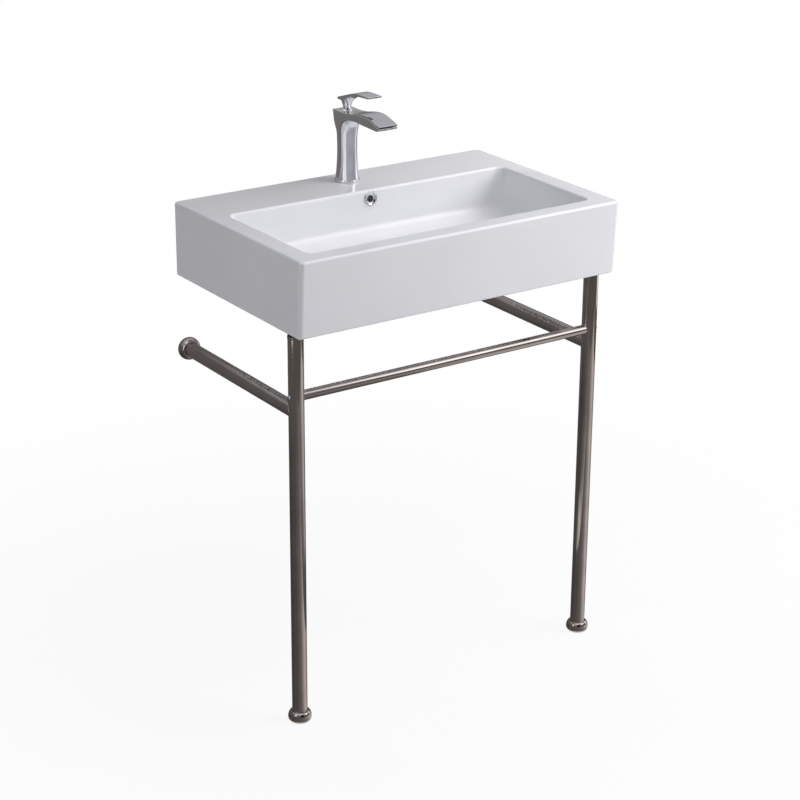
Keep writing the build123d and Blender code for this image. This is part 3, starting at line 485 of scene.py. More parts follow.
# %% Rings of the bowl, seen from inside or, grown by the china's thickness, from below
def bowl_rings(grow, steps=7):
    foot_z = RIM - WALL_DROP - grow
    foot_x, foot_y = MOUTH_X - SIDE_SLOPE + grow, MOUTH_Y - END_SLOPE + grow
    turn = BOWL_FOOT_ROUND + grow
    rings = []
    seat = COLLAR_R + 0.002 if grow else SEAT_R + 0.0012
    for k in range(13):
        t = k / 12
        spread = t**1.15
        half_x = seat + (foot_x - turn - seat) * spread
        half_y = seat + (foot_y - turn - seat) * spread
        corner = min(half_x, half_y, seat + (FOOT_CORNER + grow - seat) * t + 0.05 * math.sin(math.pi * t))
        ease = t * t * (3 - 2 * t)
        z = BOWL_FLOOR - grow + (foot_z - BOWL_FLOOR + grow) * (0.35 * t + 0.65 * ease)
        rings.append(level_ring(half_x, half_y, corner, z, WASTE_Y))
    for k in range(1, steps + 1):
        a = math.pi / 2 * k / steps
        reach = turn * (1 - math.sin(a))
        z = foot_z + turn * (1 - math.cos(a))
        lean = turn * (1 - math.cos(a)) / WALL_DROP
        half_x, half_y = foot_x - reach + SIDE_SLOPE * lean, foot_y - reach + END_SLOPE * lean
        rings.append(level_ring(half_x, half_y, FOOT_CORNER + grow - turn * 0.2 * (1 - math.sin(a)), z, WASTE_Y))
    return rings


def basin_rings():
    rings = [level_ring(WASTE_R, WASTE_R, WASTE_R, COLLAR_BASE + 0.001, WASTE_Y)]
    rings.append(level_ring(WASTE_R, WASTE_R, WASTE_R, WASTE_SEAT - 0.001, WASTE_Y))
    rings.append(level_ring(WASTE_R + 0.001, WASTE_R + 0.001, 1, WASTE_SEAT, WASTE_Y))
    rings.append(level_ring(SEAT_R - 0.001, SEAT_R - 0.001, 1, WASTE_SEAT, WASTE_Y))
    rings.append(level_ring(SEAT_R, SEAT_R, 1, WASTE_SEAT + 0.001, WASTE_Y))
    rings += bowl_rings(0.0)
    top = RIM - MOUTH_ROUND
    wall_x, wall_y = MOUTH_X - SIDE_SLOPE * MOUTH_ROUND / WALL_DROP, MOUTH_Y - END_SLOPE * MOUTH_ROUND / WALL_DROP
    for k in range(3, 7):
        t = k / 7
        z = (RIM - WALL_DROP + BOWL_FOOT_ROUND) * (1 - t) + top * t
        drop = (RIM - z) / WALL_DROP
        corner = FOOT_CORNER + (MOUTH_CORNER - FOOT_CORNER) * t
        rings.append(level_ring(MOUTH_X - SIDE_SLOPE * drop, MOUTH_Y - END_SLOPE * drop, corner, z, WASTE_Y))
    for k in range(7):
        a = math.pi / 2 * k / 6
        out = MOUTH_ROUND * (1 - math.cos(a))
        z = top + MOUTH_ROUND * math.sin(a)
        rings.append(level_ring(wall_x + out, wall_y + out, MOUTH_CORNER + out, z, WASTE_Y))
    middle = (WALL_Y + FRONT_Y) / 2
    half_depth = (WALL_Y - FRONT_Y) / 2
    for k in range(7):
        a = math.pi / 2 * k / 6
        inset = RIM_ROUND * (1 - math.sin(a))
        z = RIM - RIM_ROUND * (1 - math.cos(a))
        rings.append(level_ring(HALF_WIDTH - inset, half_depth - inset, CORNER_ROUND, z, middle))
    shift = LEAN / 2
    rings.append(level_ring(HALF_WIDTH, half_depth, CORNER_ROUND, RIM - UPRIGHT_BAND, middle))
    for z in (UNDER + FOOT_ROUND, ):
        rings.append(level_ring(HALF_WIDTH, half_depth - shift, CORNER_ROUND, z, middle + shift))
    for k in range(1, 5):
        a = math.pi / 2 * k / 4
        inset = FOOT_ROUND * (1 - math.cos(a))
        z = UNDER + FOOT_ROUND * (1 - math.sin(a))
        rings.append(level_ring(HALF_WIDTH - inset, half_depth - shift - inset, CORNER_ROUND - inset, z, middle + shift))
    inner_x, inner_y = HALF_WIDTH - APRON_WALL, half_depth - shift - APRON_WALL
    rings.append(level_ring(inner_x + 0.002, inner_y + 0.002, 0.008, UNDER, middle + shift))
    rings.append(level_ring(inner_x, inner_y, 0.006, UNDER + 0.002, middle + shift))
    rings.append(level_ring(inner_x, inner_y, 0.006, RIM - CHINA - 0.006, middle + shift))
    rings.append(level_ring(inner_x - 0.006, inner_y - 0.006, 0.006, RIM - CHINA, middle + shift))
    rings.append(level_ring(MOUTH_X + CHINA, MOUTH_Y + CHINA, MOUTH_CORNER + CHINA, RIM - CHINA, WASTE_Y))
    rings += reversed(bowl_rings(CHINA))
    floor = BOWL_FLOOR - CHINA
    rings.append(level_ring(COLLAR_R, COLLAR_R, 1, floor - 0.002, WASTE_Y))
    rings.append(level_ring(COLLAR_R, COLLAR_R, 1, COLLAR_BASE + 0.001, WASTE_Y))
    rings.append(level_ring(COLLAR_R - 0.001, COLLAR_R - 0.001, 1, COLLAR_BASE, WASTE_Y))
    rings.append(level_ring(WASTE_R + 0.001, WASTE_R + 0.001, 1, COLLAR_BASE, WASTE_Y))
    return rings


basin = ring_piece("basin_china", basin_rings(), along=True)
print("basin skin:", len(basin.data.vertices), "corners")

# %% [markdown]
# Under the deck the casting also has an overflow duct behind the bowl and two thick lands over
# the legs. They are joined to the skin, and then the holes are drilled: the overflow, the tap
# hole and the two for the wall bolts.

# %% Duct, lands and holes
def plain_block(name, low, high, ease=0.003):
    rings = []
    middle = ((low[0] + high[0]) / 2, (low[1] + high[1]) / 2)
    half = ((high[0] - low[0]) / 2, (high[1] - low[1]) / 2)
    for z in (low[2], high[2]):
        rings.append(rounded_ring((*middle, z), (1, 0, 0), (0, 1, 0), *half, ease, 3))
    return ring_piece(name, rings, cap_first=True, cap_last=True)


def plain_rod(name, centre, radius, start, end, axis, steps=64):
    rings = []
    for value in (start, end):
        shift = {"Z": (0, 0, value), "Y": (0, value, 0), "X": (value, 0, 0)}[axis]
        rings.append(circle_ring(Vector(centre) + Vector(shift), radius, axis, steps))
    return ring_piece(name, rings, cap_first=True, cap_last=True)


MOUTH_BACK = WALL_Y - DECK
DUCT_HALF, DUCT_WALL, DUCT_BORE = 0.030, 0.011, 0.010
LAND_WIDTH, LAND_DEPTH, LAND_HEIGHT = 0.062, 0.082, 0.030
overflow_low, overflow_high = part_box("overflow_ring")
OVERFLOW_Z = (overflow_low.z + overflow_high.z) / 2
duct_back = MOUTH_BACK + CHINA + DUCT_BORE + DUCT_WALL
added = [
    plain_block(
        "duct_back", (-DUCT_HALF, MOUTH_BACK + 0.001, COLLAR_BASE), (DUCT_HALF, duct_back, OVERFLOW_Z + 0.012)
    ),
    plain_block("duct_floor", (-DUCT_HALF, WASTE_Y, COLLAR_BASE), (DUCT_HALF, duct_back, BOWL_FLOOR - CHINA + 0.006)),
]
for side in (-1, 1):
    low_x, high_x = sorted((side * (HALF_WIDTH - LAND_WIDTH), side * (HALF_WIDTH - 0.004)))
    low_y = FRONT_Y + LEAN + 0.004
    added.append(
        plain_block(f"land_{side}", (low_x, low_y, UNDER), (high_x, FRONT_Y + LAND_DEPTH, UNDER + LAND_HEIGHT))
    )
combine(basin, added, "UNION")
WALL_BOLT_X, WALL_BOLT_Z, WALL_BOLT_R = 0.140, RIM - 0.060, 0.007
drills = [
    plain_rod("drill_tap", (0, TAP_Y, 0), 0.0175, RIM - 0.02, RIM + 0.01, "Z"),
    plain_rod("drill_overflow", (0, MOUTH_BACK, OVERFLOW_Z), 0.009, -0.02, CHINA + 0.004, "Y"),
    plain_rod("drill_waste", (0, WASTE_Y, 0), WASTE_R, COLLAR_BASE - 0.01, WASTE_SEAT + 0.002, "Z"),
]
for side in (-1, 1):
    place = (side * WALL_BOLT_X, WALL_Y, WALL_BOLT_Z)
    drills.append(plain_rod(f"drill_bolt_{side}", place, WALL_BOLT_R, -0.03, 0.01, "Y", 48))
combine(basin, drills, "DIFFERENCE")
even_shading(basin)
dress(basin, china, "glazed_china", "frame", "basin")

# %% [markdown]
# The overflow's chrome ring lies on the bowl's sloping back wall, so it is turned about its own
# axis and then tilted with the wall. The duct behind its eye is unglazed china darkened as painted shade.

# %% Overflow ring and the painted shade behind it
WALL_TILT = math.atan2(END_SLOPE, WALL_DROP)
wall_here = MOUTH_BACK - (RIM - OVERFLOW_Z) * END_SLOPE / WALL_DROP
on_wall = Matrix.Translation((0, wall_here, OVERFLOW_Z)) @ Matrix.Rotation(-WALL_TILT, 4, "X")
RING_R, RING_LIP, EYE_R, SLEEVE_R = 0.0148, 0.0024, 0.0066, 0.0088
ring_outline = [
    (SLEEVE_R, 0.006),
    (SLEEVE_R, 0.0),
    (RING_R, 0.0),
    (RING_R - 0.0003, -0.0011),
    (RING_R - 0.0022, -RING_LIP),
    (RING_R - 0.0044, -RING_LIP + 0.0003),
    (EYE_R + 0.0012, -0.0010),
    (EYE_R, -0.0002),
    (EYE_R, 0.006),
]
overflow = turned_piece("overflow_trim", ring_outline, axis="Y", ease=0.0006)
overflow.data.transform(on_wall)
dress(overflow, chrome, "chrome", "frame", "overflow_ring")
# a dark cup behind the overflow's eye that stands for the shade in the hollow: painted shade
dark = turned_piece("overflow_duct", [(0.0088, 0.0062), (0.0088, 0.0132), (0, 0.0138), (0, 0.0128), (0.0080, 0.0122), (0.0080, 0.0062)], axis="Y")
dark.data.transform(on_wall)
dress(dark, duct_shade_china, "glazed_china", "frame")

# %% [markdown]
# ## The tap
#
# The real tap is one polished casting: a round column that widens, turns square and leans
# forward into a flat arched spout. It is made as a fan of rounded rings. Each ring runs between
# a point on the back and top line and a point on the front and under line, so the rings start
# level at the foot and stand upright at the spout's end. Sizes here are millimetres from the
# tap's axis on the deck, as a drawing of the tap would give them.


# %% A fan of rings between an outer and an inner line
def at_tap(x, y, z):
    return Vector((x * MM, TAP_Y + y * MM, RIM + z * MM))


def fan_rings(rows, arc=8):
    rings = []
    for out_y, out_z, in_y, in_z, half_width, corner, under_corner in rows:
        outer, inner = at_tap(0, out_y, out_z), at_tap(0, in_y, in_z)
        span = outer - inner
        rings.append(
            rounded_ring(
                (outer + inner) / 2, (1, 0, 0), span.normalized(), half_width * MM, span.length / 2,
                corner * MM, arc, under_corner * MM,
            )
        )
    return rings


def both_alike(rows):
    return [(*row, row[-1]) for row in rows]


def trimmed(rows, first=0.0, last=0.0):
    rows = [tuple(row) for row in rows]
    for at_end, cut in ((False, first), (True, last)):
        if not cut:
            continue
        end, near = (rows[-1], rows[-2]) if at_end else (rows[0], rows[1])
        out_y, out_z, in_y, in_z, half_width, corner, under_corner = end
        span = math.hypot(out_y - in_y, out_z - in_z)
        unit = ((out_y - in_y) / span, (out_z - in_z) / span)
        small = (
            out_y - cut * unit[0],
            out_z - cut * unit[1],
            in_y + cut * unit[0],
            in_z + cut * unit[1],
            half_width - cut,
            max(corner - cut, 0.1),
            max(under_corner - cut, 0.1),
        )
        run = math.hypot(near[0] - out_y, near[1] - out_z)
        share = min(0.45, cut / run)
        inset = tuple(a + (b - a) * share for a, b in zip(end, near))
        rows = rows[:-1] + [inset, small] if at_end else [small, inset] + rows[1:]
    return rows


# %% Casting of the tap: column and spout in one
COLUMN = [
    (22.0, 4.5, -22.0, 4.5, 22.0, 22.0, 22.0),
    (21.0, 13.0, -21.0, 13.0, 21.0, 21.0, 21.0),
    (20.0, 25.0, -20.0, 25.0, 20.0, 20.0, 20.0),
    (19.0, 42.0, -19.0, 42.0, 19.0, 19.0, 19.0),
    (18.5, 60.0, -18.5, 60.0, 18.5, 18.5, 18.5),
    (18.8, 78.0, -18.8, 78.0, 18.8, 18.8, 18.8),
    (19.4, 94.0, -19.4, 93.0, 19.3, 18.6, 19.0),
    (19.3, 105.0, -19.9, 101.0, 19.8, 13.0, 17.6),
    (18.7, 114.0, -21.0, 107.5, 20.0, 7.5, 15.6),
    (18.2, 123.0, -23.6, 113.2, 20.0, 4.0, 13.2),
    (18.0, 132.3, -28.2, 117.8, 20.0, 2.0, 10.8),
]
SPOUT = [
    (18.0, 132.3, -28.2, 117.8, 20.0, 2.0, 10.8),
    (8.0, 132.2, -32.5, 120.4, 20.0, 2.0, 9.0),
    (-6.0, 132.0, -38.0, 122.2, 20.0, 1.8, 7.2),
    (-20.0, 132.0, -45.0, 123.4, 20.0, 1.6, 5.6),
    (-38.0, 133.8, -52.0, 124.0, 20.0, 1.5, 4.2),
    (-58.0, 137.8, -62.0, 123.9, 20.0, 1.4, 3.2),
    (-77.0, 140.6, -77.0, 123.2, 20.0, 1.4, 2.6),
    (-100.0, 139.6, -100.0, 122.5, 20.0, 1.4, 2.2),
    (-118.0, 134.5, -118.0, 122.0, 20.0, 1.3, 1.8),
    (-128.0, 130.6, -128.0, 122.0, 20.0, 1.1, 1.4),
    (-136.0, 127.7, -136.0, 125.2, 20.0, 0.9, 0.9),
]
casting_rows = smooth_rows(COLUMN, 5)[:-1] + smooth_rows(SPOUT, 5)
bm = bmesh.new()
skin(bm, fan_rings(trimmed(casting_rows, 0.3, 0.4), 10), cap_first=True, cap_last=True)
casting = finish_mesh("tap_casting", bm)
print("casting rings:", len(casting_rows))


# %% Its bores, the aerator's socket and the channel under the strip
def tap_cutter(name, outline, forward=0.0):
    points = [(r * MM, h * MM) for r, h in outline]
    return turned_piece(name, points, at_tap(0, forward, 0), steps=96)


cutters = [
    tap_cutter("cut_bonnet", [(0, 88), (15.2, 88), (15.2, 119), (17.5, 119), (17.5, 150), (0, 150)]),
    tap_cutter("cut_foot", [(0, -5), (16.5, -5), (16.5, 16), (0, 16)]),
    tap_cutter("cut_aerator", [(0, 100), (11.1, 100), (11.1, 129.2), (8.6, 129.2), (8.6, 135), (0, 135)], -116),
    plain_block("cut_channel", at_tap(-14.5, -129.5, 126.6), at_tap(14.5, -30, 150), 0.002),
]
combine(casting, cutters, "DIFFERENCE")
even_shading(casting)
dress(casting, chrome, "chrome", "frame", "tap_body")

# %% [markdown]
# A separate flat strip lies along the top of the spout, with a hairline joint to the casting
# and a dark slot at the lip. It is a ribbon over a smooth line, cut by the ball of the lever's
# dome with a small gap round it.

# %% Strip on the spout
STRIP_THICK = 2.6
STRIP_LINE = [
    (18.0, 135.0),
    (0.0, 134.6),
    (-18.0, 134.5),
    (-39.4, 136.5),
    (-58.0, 140.3),
    (-77.5, 143.2),
    (-92.0, 143.4),
    (-102.0, 142.0),
    (-119.0, 137.4),
    (-136.0, 132.2),
]
strip_rows = [(y, z, y, z - STRIP_THICK, 20.0, 0.45, 0.45) for y, z in smooth_rows(STRIP_LINE, 8)]
bm = bmesh.new()
skin(bm, fan_rings(trimmed(strip_rows, 0.35, 0.35), 4), cap_first=True, cap_last=True)
strip = finish_mesh("spout_strip", bm)
PIVOT_Z = 124.5
DOME_R = 16.0


def ball_outline(radius, turns=48):
    half_turn = [math.pi * k / turns for k in range(turns + 1)]
    return [(radius * math.sin(a), PIVOT_Z - radius * math.cos(a)) for a in half_turn]


combine(strip, [tap_cutter("cut_ball", ball_outline(DOME_R + 0.3))], "DIFFERENCE")
even_shading(strip)
dress(strip, chrome, "chrome", "frame", "spout_plate")

# %% [markdown]
# The lever is a dome that slides under the strip, a neck that flares into a wedge, and a thin
# blade that points the way the spout does. It turns and tips about the dome's centre.

# %% Dome under the lever
skirt = [75 * k / 24 for k in range(25)]
dome_outline = [(DOME_R * math.sin(math.radians(a)), PIVOT_Z + DOME_R * math.cos(math.radians(a))) for a in skirt]
inner_r = DOME_R - 2.0
dome_outline += [
    (inner_r * math.sin(math.radians(a)), PIVOT_Z + inner_r * math.cos(math.radians(a))) for a in reversed(skirt)
]
dome = tap_cutter("lever_ball", dome_outline)
even_shading(dome)
dress(dome, chrome, "chrome", "lever_arm", "lever_dome")

# %% Blade and neck of the lever
BLADE = [
    (10.0, 158.5, 9.9, 154.6, 15.0, 0.7),
    (0.0, 161.7, -1.0, 154.6, 15.0, 0.8),
    (-10.0, 164.9, -9.0, 156.0, 15.0, 0.8),
    (-22.0, 168.7, -22.0, 162.5, 15.0, 0.8),
    (-36.0, 173.0, -36.0, 167.2, 15.0, 0.8),
    (-50.0, 176.1, -50.0, 170.8, 15.0, 0.8),
    (-64.0, 176.9, -64.0, 172.0, 15.0, 0.8),
    (-80.0, 176.8, -80.0, 172.9, 15.0, 0.8),
    (-93.0, 176.7, -93.0, 173.5, 15.0, 0.8),
]
NECK = [
    (7.4, 138.0, -7.4, 138.0, 7.4, 7.4),
    (7.5, 141.5, -7.5, 141.5, 7.5, 7.4),
    (7.8, 146.0, -8.2, 146.5, 8.2, 6.2),
    (8.3, 150.5, -10.2, 152.0, 9.4, 5.0),
    (9.0, 154.5, -14.5, 157.3, 11.5, 3.5),
    (9.7, 157.2, -21.0, 162.6, 14.0, 2.0),
]
bm = bmesh.new()
skin(bm, fan_rings(trimmed(both_alike(smooth_rows(BLADE, 6)), 0.5, 0.6), 5), cap_first=True, cap_last=True)
blade = finish_mesh("lever_blade", bm)
bm = bmesh.new()
skin(bm, fan_rings(both_alike(smooth_rows(NECK, 6)), 8), cap_first=True, cap_last=True)
neck = finish_mesh("neck", bm)
combine(blade, [neck], "UNION", 28)
GRUB_Z, GRUB_R = 146.0, 2.0
hollows = [
    tap_cutter("cut_under", ball_outline(DOME_R)),
    plain_rod("cut_grub", at_tap(0, 0, GRUB_Z), (GRUB_R + 0.05) * MM, 0.004, 0.02, "Y", 32),
    plain_block("cut_shank", at_tap(-4.1, -4.1, 130), at_tap(4.1, 4.1, 151.5), 0.0001),
]
combine(blade, hollows, "DIFFERENCE", 28)
even_shading(blade)
dress(blade, chrome, "chrome", "lever_arm", "lever")

# %% [markdown]
# ## Trees for what repeats
#
# Three small Geometry Nodes trees make what repeats or follows a path. One turns a profile line
# on a lathe, one sweeps a round bead along a path, and one sets a pattern on points. Each ends
# by making the instances real and giving them their finish, and is then baked to a plain mesh.


# %% Build a tree, and grow a piece from it
def new_tree(name, inputs):
    tree = bpy.data.node_groups.new(name, "GeometryNodeTree")
    tree.interface.new_socket("Geometry", in_out="INPUT", socket_type="NodeSocketGeometry")
    for label, kind, value in inputs + [("Finish", "NodeSocketMaterial", None)]:
        socket = tree.interface.new_socket(label, in_out="INPUT", socket_type=kind)
        if value is not None:
            socket.default_value = value
    tree.interface.new_socket("Geometry", in_out="OUTPUT", socket_type="NodeSocketGeometry")
    return tree, tree.nodes.new("NodeGroupInput")


def end_tree(tree, start, geometry):
    real = tree.nodes.new("GeometryNodeRealizeInstances")
    merge = tree.nodes.new("GeometryNodeMergeByDistance")
    merge.inputs["Distance"].default_value = 1e-6
    paint = tree.nodes.new("GeometryNodeSetMaterial")
    end = tree.nodes.new("NodeGroupOutput")
    tree.links.new(geometry, merge.inputs["Geometry"])
    tree.links.new(merge.outputs["Geometry"], real.inputs["Geometry"])
    tree.links.new(real.outputs["Geometry"], paint.inputs["Geometry"])
    tree.links.new(start.outputs["Finish"], paint.inputs["Material"])
    tree.links.new(paint.outputs["Geometry"], end.inputs["Geometry"])


def grow(name, tree, points, edges, values, finish, turns=None, smooth_angle=32.0):
    mesh = bpy.data.meshes.new(name)
    mesh.from_pydata([tuple(p) for p in points], edges, [])
    if turns:
        turned_by = mesh.attributes.new("turn", "FLOAT_VECTOR", "POINT")
        for k, turn in enumerate(turns):
            turned_by.data[k].vector = turn
    piece = bpy.data.objects.new(name, mesh)
    bpy.context.scene.collection.objects.link(piece)
    step = piece.modifiers.new("tree", "NODES")
    step.node_group = tree
    for item in tree.interface.items_tree:
        if item.in_out == "INPUT" and item.name in values:
            step[item.identifier] = values[item.name]
        if item.in_out == "INPUT" and item.name == "Finish":
            step[item.identifier] = finish
    bpy.context.view_layer.update()
    ready = piece.evaluated_get(bpy.context.evaluated_depsgraph_get())
    grown = bpy.data.meshes.new_from_object(ready)
    piece.modifiers.clear()
    bm = bmesh.new()
    bm.from_mesh(grown)
    bmesh.ops.delete(bm, geom=[e for e in bm.edges if not e.link_faces], context="EDGES")
    bmesh.ops.recalc_face_normals(bm, faces=bm.faces)
    bm.to_mesh(grown)
    bm.free()
    grown.shade_smooth()
    grown.set_sharp_from_angle(angle=math.radians(smooth_angle))
    piece.data = grown
    return piece


# %% The lathe: a profile line swept round a circle
LATHE_R = 0.1
lathe, start = new_tree(
    "lathe",
    [
        ("Steps", "NodeSocketInt", 96),
        ("Place", "NodeSocketVector", (0, 0, 0)),
        ("Turn", "NodeSocketVector", (0, 0, 0)),
    ],
)
profile = lathe.nodes.new("GeometryNodeMeshToCurve")
path = lathe.nodes.new("GeometryNodeCurvePrimitiveCircle")
path.inputs["Radius"].default_value = LATHE_R
upright = lathe.nodes.new("GeometryNodeSetCurveNormal")
upright.mode = "Z_UP"
sweep = lathe.nodes.new("GeometryNodeCurveToMesh")
place = lathe.nodes.new("GeometryNodeTransform")
lathe.links.new(start.outputs["Geometry"], profile.inputs["Mesh"])
lathe.links.new(start.outputs["Steps"], path.inputs["Resolution"])
lathe.links.new(path.outputs["Curve"], upright.inputs["Curve"])
lathe.links.new(upright.outputs["Curve"], sweep.inputs["Curve"])
lathe.links.new(profile.outputs["Curve"], sweep.inputs["Profile Curve"])
lathe.links.new(sweep.outputs["Mesh"], place.inputs["Geometry"])
lathe.links.new(start.outputs["Place"], place.inputs["Translation"])
lathe.links.new(start.outputs["Turn"], place.inputs["Rotation"])
end_tree(lathe, start, place.outputs["Geometry"])


def on_lathe(name, outline, place, turn, finish, ease=0.0):
    outline = [Vector(point) for point in outline]
    outline = eased(outline, ease) if ease else outline
    points = [(radius - LATHE_R, -height, 0) for radius, height in outline]
    edges = [(k, (k + 1) % len(points)) for k in range(len(points))]
    return grow(name, lathe, points, edges, {"Steps": 96, "Place": place, "Turn": turn}, finish)


print("lathe sockets:", [item.name for item in lathe.interface.items_tree])

# %% [markdown]
# The domed flanges cover the tubes' ends on the floor and the wall. Their rule is simple: from
# the foot they swell to the widest ring, then roll over in a quarter of an ellipse to the tube.

# %% Four domed flanges
FLANGE_FOOT, FLANGE_WIDEST, FLANGE_NECK = 0.0185, 0.0215, 0.0153
FLANGE_BULGE, FLANGE_HEIGHT, FLANGE_BORE = 0.008, 0.020, TUBE_R + 0.0001


def flange_outline():
    outline = [(FLANGE_BORE, 0.0002), (FLANGE_BORE + 0.0002, 0.0), (FLANGE_FOOT - 0.0003, 0.0)]
    for k in range(9):
        height = 0.0003 + (FLANGE_BULGE - 0.0003) * k / 8
        short = (FLANGE_BULGE - height) / FLANGE_BULGE
        outline.append((FLANGE_WIDEST - (FLANGE_WIDEST - FLANGE_FOOT) * short**2, height))
    for k in range(1, 15):
        a = math.pi / 2 * k / 15
        reach = (FLANGE_WIDEST - FLANGE_NECK) * math.cos(a) ** 1.15
        outline.append((FLANGE_NECK + reach, FLANGE_BULGE + (FLANGE_HEIGHT - FLANGE_BULGE) * math.sin(a)))
    return outline + [(FLANGE_NECK - 0.0002, FLANGE_HEIGHT), (FLANGE_BORE, FLANGE_HEIGHT - 0.0002)]


for side, hand in ((-1, "left"), (1, "right")):
    for spot in ("floor", "wall"):
        on_floor = spot == "floor"
        place = (side * LEG_X, LEG_Y, 0) if on_floor else (side * LEG_X, WALL_Y, BAR_Z)
        turn = (0, 0, 0) if on_floor else (math.pi / 2, 0, 0)
        flange = on_lathe(f"{spot}_flange_dome_{hand}", flange_outline(), place, turn, steel)
        dress(flange, steel, "stainless", "frame", f"{spot}_flange_{hand}")

# %% [markdown]
# ## The tubes
#
# The legs are plain tube. The side bars and the rail are cut to a saddle where they meet a leg,
# which a plain cylinder can't show, so each point of the end ring is moved to the leg's face.


# %% Legs, side bars and rail
def tube_rings(radius, wall, centre_at, start_at, end_at, steps=96):
    rings = []
    for r, bounds in ((radius, (start_at, end_at)), (radius - wall, (end_at, start_at))):
        for bound in bounds:
            ring = []
            for k in range(steps):
                a = 2 * math.pi * k / steps
                u, v = r * math.cos(a), r * math.sin(a)
                ring.append(centre_at(u, v, bound(u, v)))
            rings.append(ring)
    return rings


SADDLE_R = TUBE_R + 0.00003
TUBE_WALL = 0.0012


def saddle(u, v):
    return math.sqrt(max(SADDLE_R**2 - u**2, 0.0))


for side, hand in ((-1, "left"), (1, "right")):
    low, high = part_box(f"leg_{hand}")
    outline = [(TUBE_R - TUBE_WALL, low.z), (TUBE_R, low.z), (TUBE_R, high.z), (TUBE_R - TUBE_WALL, high.z)]
    leg = turned_piece(f"leg_tube_{hand}", outline, (side * LEG_X, LEG_Y, 0), ease=0.0003)
    dress(leg, steel, "stainless", "frame", f"leg_{hand}")
    rings = tube_rings(
        TUBE_R,
        TUBE_WALL,
        lambda u, v, w, x=side * LEG_X: Vector((x + u, w, BAR_Z + v)),
        lambda u, v: LEG_Y + saddle(u, v),
        lambda u, v: BAR_END,
    )
    bar = ring_piece(f"side_tube_{hand}", rings, along=True)
    dress(bar, steel, "stainless", "frame", f"side_bar_{hand}")
rings = tube_rings(
    RAIL_R,
    TUBE_WALL,
    lambda u, v, w: Vector((w, LEG_Y + u, RAIL_Z + v)),
    lambda u, v: -LEG_X + saddle(u, v),
    lambda u, v: LEG_X - saddle(u, v),
)
rail = ring_piece("towel_rail", rings, along=True)
dress(rail, steel, "stainless", "frame", "front_rail")

# %% [markdown]
# Where a tube meets a leg there is a fine polished bead. A tree sweeps a small circle along the
# saddle's line, which is a path no ring or lathe could give.

# %% Beads along the saddles
bead_tree, start = new_tree("bead", [("Bead", "NodeSocketFloat", 0.0007), ("Steps", "NodeSocketInt", 12)])
line = bead_tree.nodes.new("GeometryNodeMeshToCurve")
round_bar = bead_tree.nodes.new("GeometryNodeCurvePrimitiveCircle")
sweep = bead_tree.nodes.new("GeometryNodeCurveToMesh")
bead_tree.links.new(start.outputs["Geometry"], line.inputs["Mesh"])
bead_tree.links.new(start.outputs["Bead"], round_bar.inputs["Radius"])
bead_tree.links.new(start.outputs["Steps"], round_bar.inputs["Resolution"])
bead_tree.links.new(line.outputs["Curve"], sweep.inputs["Curve"])
bead_tree.links.new(round_bar.outputs["Curve"], sweep.inputs["Profile Curve"])
end_tree(bead_tree, start, sweep.outputs["Mesh"])
for side, hand in ((-1, "left"), (1, "right")):
    for joint, radius in (("bar", TUBE_R), ("rail", RAIL_R)):
        points = []
        for k in range(96):
            a = 2 * math.pi * k / 96
            u, v = (radius - 0.0001) * math.cos(a), (radius - 0.0001) * math.sin(a)
            out = saddle(u, v) + 0.0001
            if joint == "bar":
                points.append((side * LEG_X + u, LEG_Y + out, BAR_Z + v))
            else:
                points.append((side * (LEG_X - out), LEG_Y + u, RAIL_Z + v))
        edges = [(k, (k + 1) % 96) for k in range(96)]
        bead = grow(f"{joint}_bead_{hand}", bead_tree, points, edges, {"Bead": 0.0006}, steel)
        dress(bead, steel, "stainless", "frame")

# %% [markdown]
# Screws come in sets of the same screw. One pattern is made and cut, and a tree sets a copy on
# each point, turned by the point's own attribute.

# %% A pattern set on points
spread_tree, start = new_tree(
    "set_on_points", [("Pattern", "NodeSocketObject", None), ("Size", "NodeSocketFloat", 1.0)]
)
pattern = spread_tree.nodes.new("GeometryNodeObjectInfo")
pattern.inputs["As Instance"].default_value = True
to_points = spread_tree.nodes.new("GeometryNodeMeshToPoints")
named = spread_tree.nodes.new("GeometryNodeInputNamedAttribute")
named.data_type = "FLOAT_VECTOR"
named.inputs["Name"].default_value = "turn"
spread = spread_tree.nodes.new("GeometryNodeInstanceOnPoints")
spread_tree.links.new(start.outputs["Pattern"], pattern.inputs["Object"])
spread_tree.links.new(start.outputs["Geometry"], to_points.inputs["Mesh"])
spread_tree.links.new(to_points.outputs["Points"], spread.inputs["Points"])
spread_tree.links.new(pattern.outputs["Geometry"], spread.inputs["Instance"])
spread_tree.links.new(named.outputs["Attribute"], spread.inputs["Rotation"])
spread_tree.links.new(start.outputs["Size"], spread.inputs["Scale"])
real = spread_tree.nodes.new("GeometryNodeRealizeInstances")
paint = spread_tree.nodes.new("GeometryNodeSetMaterial")
end = spread_tree.nodes.new("NodeGroupOutput")
spread_tree.links.new(spread.outputs["Instances"], real.inputs["Geometry"])
spread_tree.links.new(real.outputs["Geometry"], paint.inputs["Geometry"])
spread_tree.links.new(start.outputs["Finish"], paint.inputs["Material"])
spread_tree.links.new(paint.outputs["Geometry"], end.inputs["Geometry"])


def set_out(name, pattern_piece, points, turns, finish):
    piece = grow(name, spread_tree, points, [], {"Pattern": pattern_piece, "Size": 1.0}, finish, turns)
    bpy.data.objects.remove(pattern_piece)
    return piece


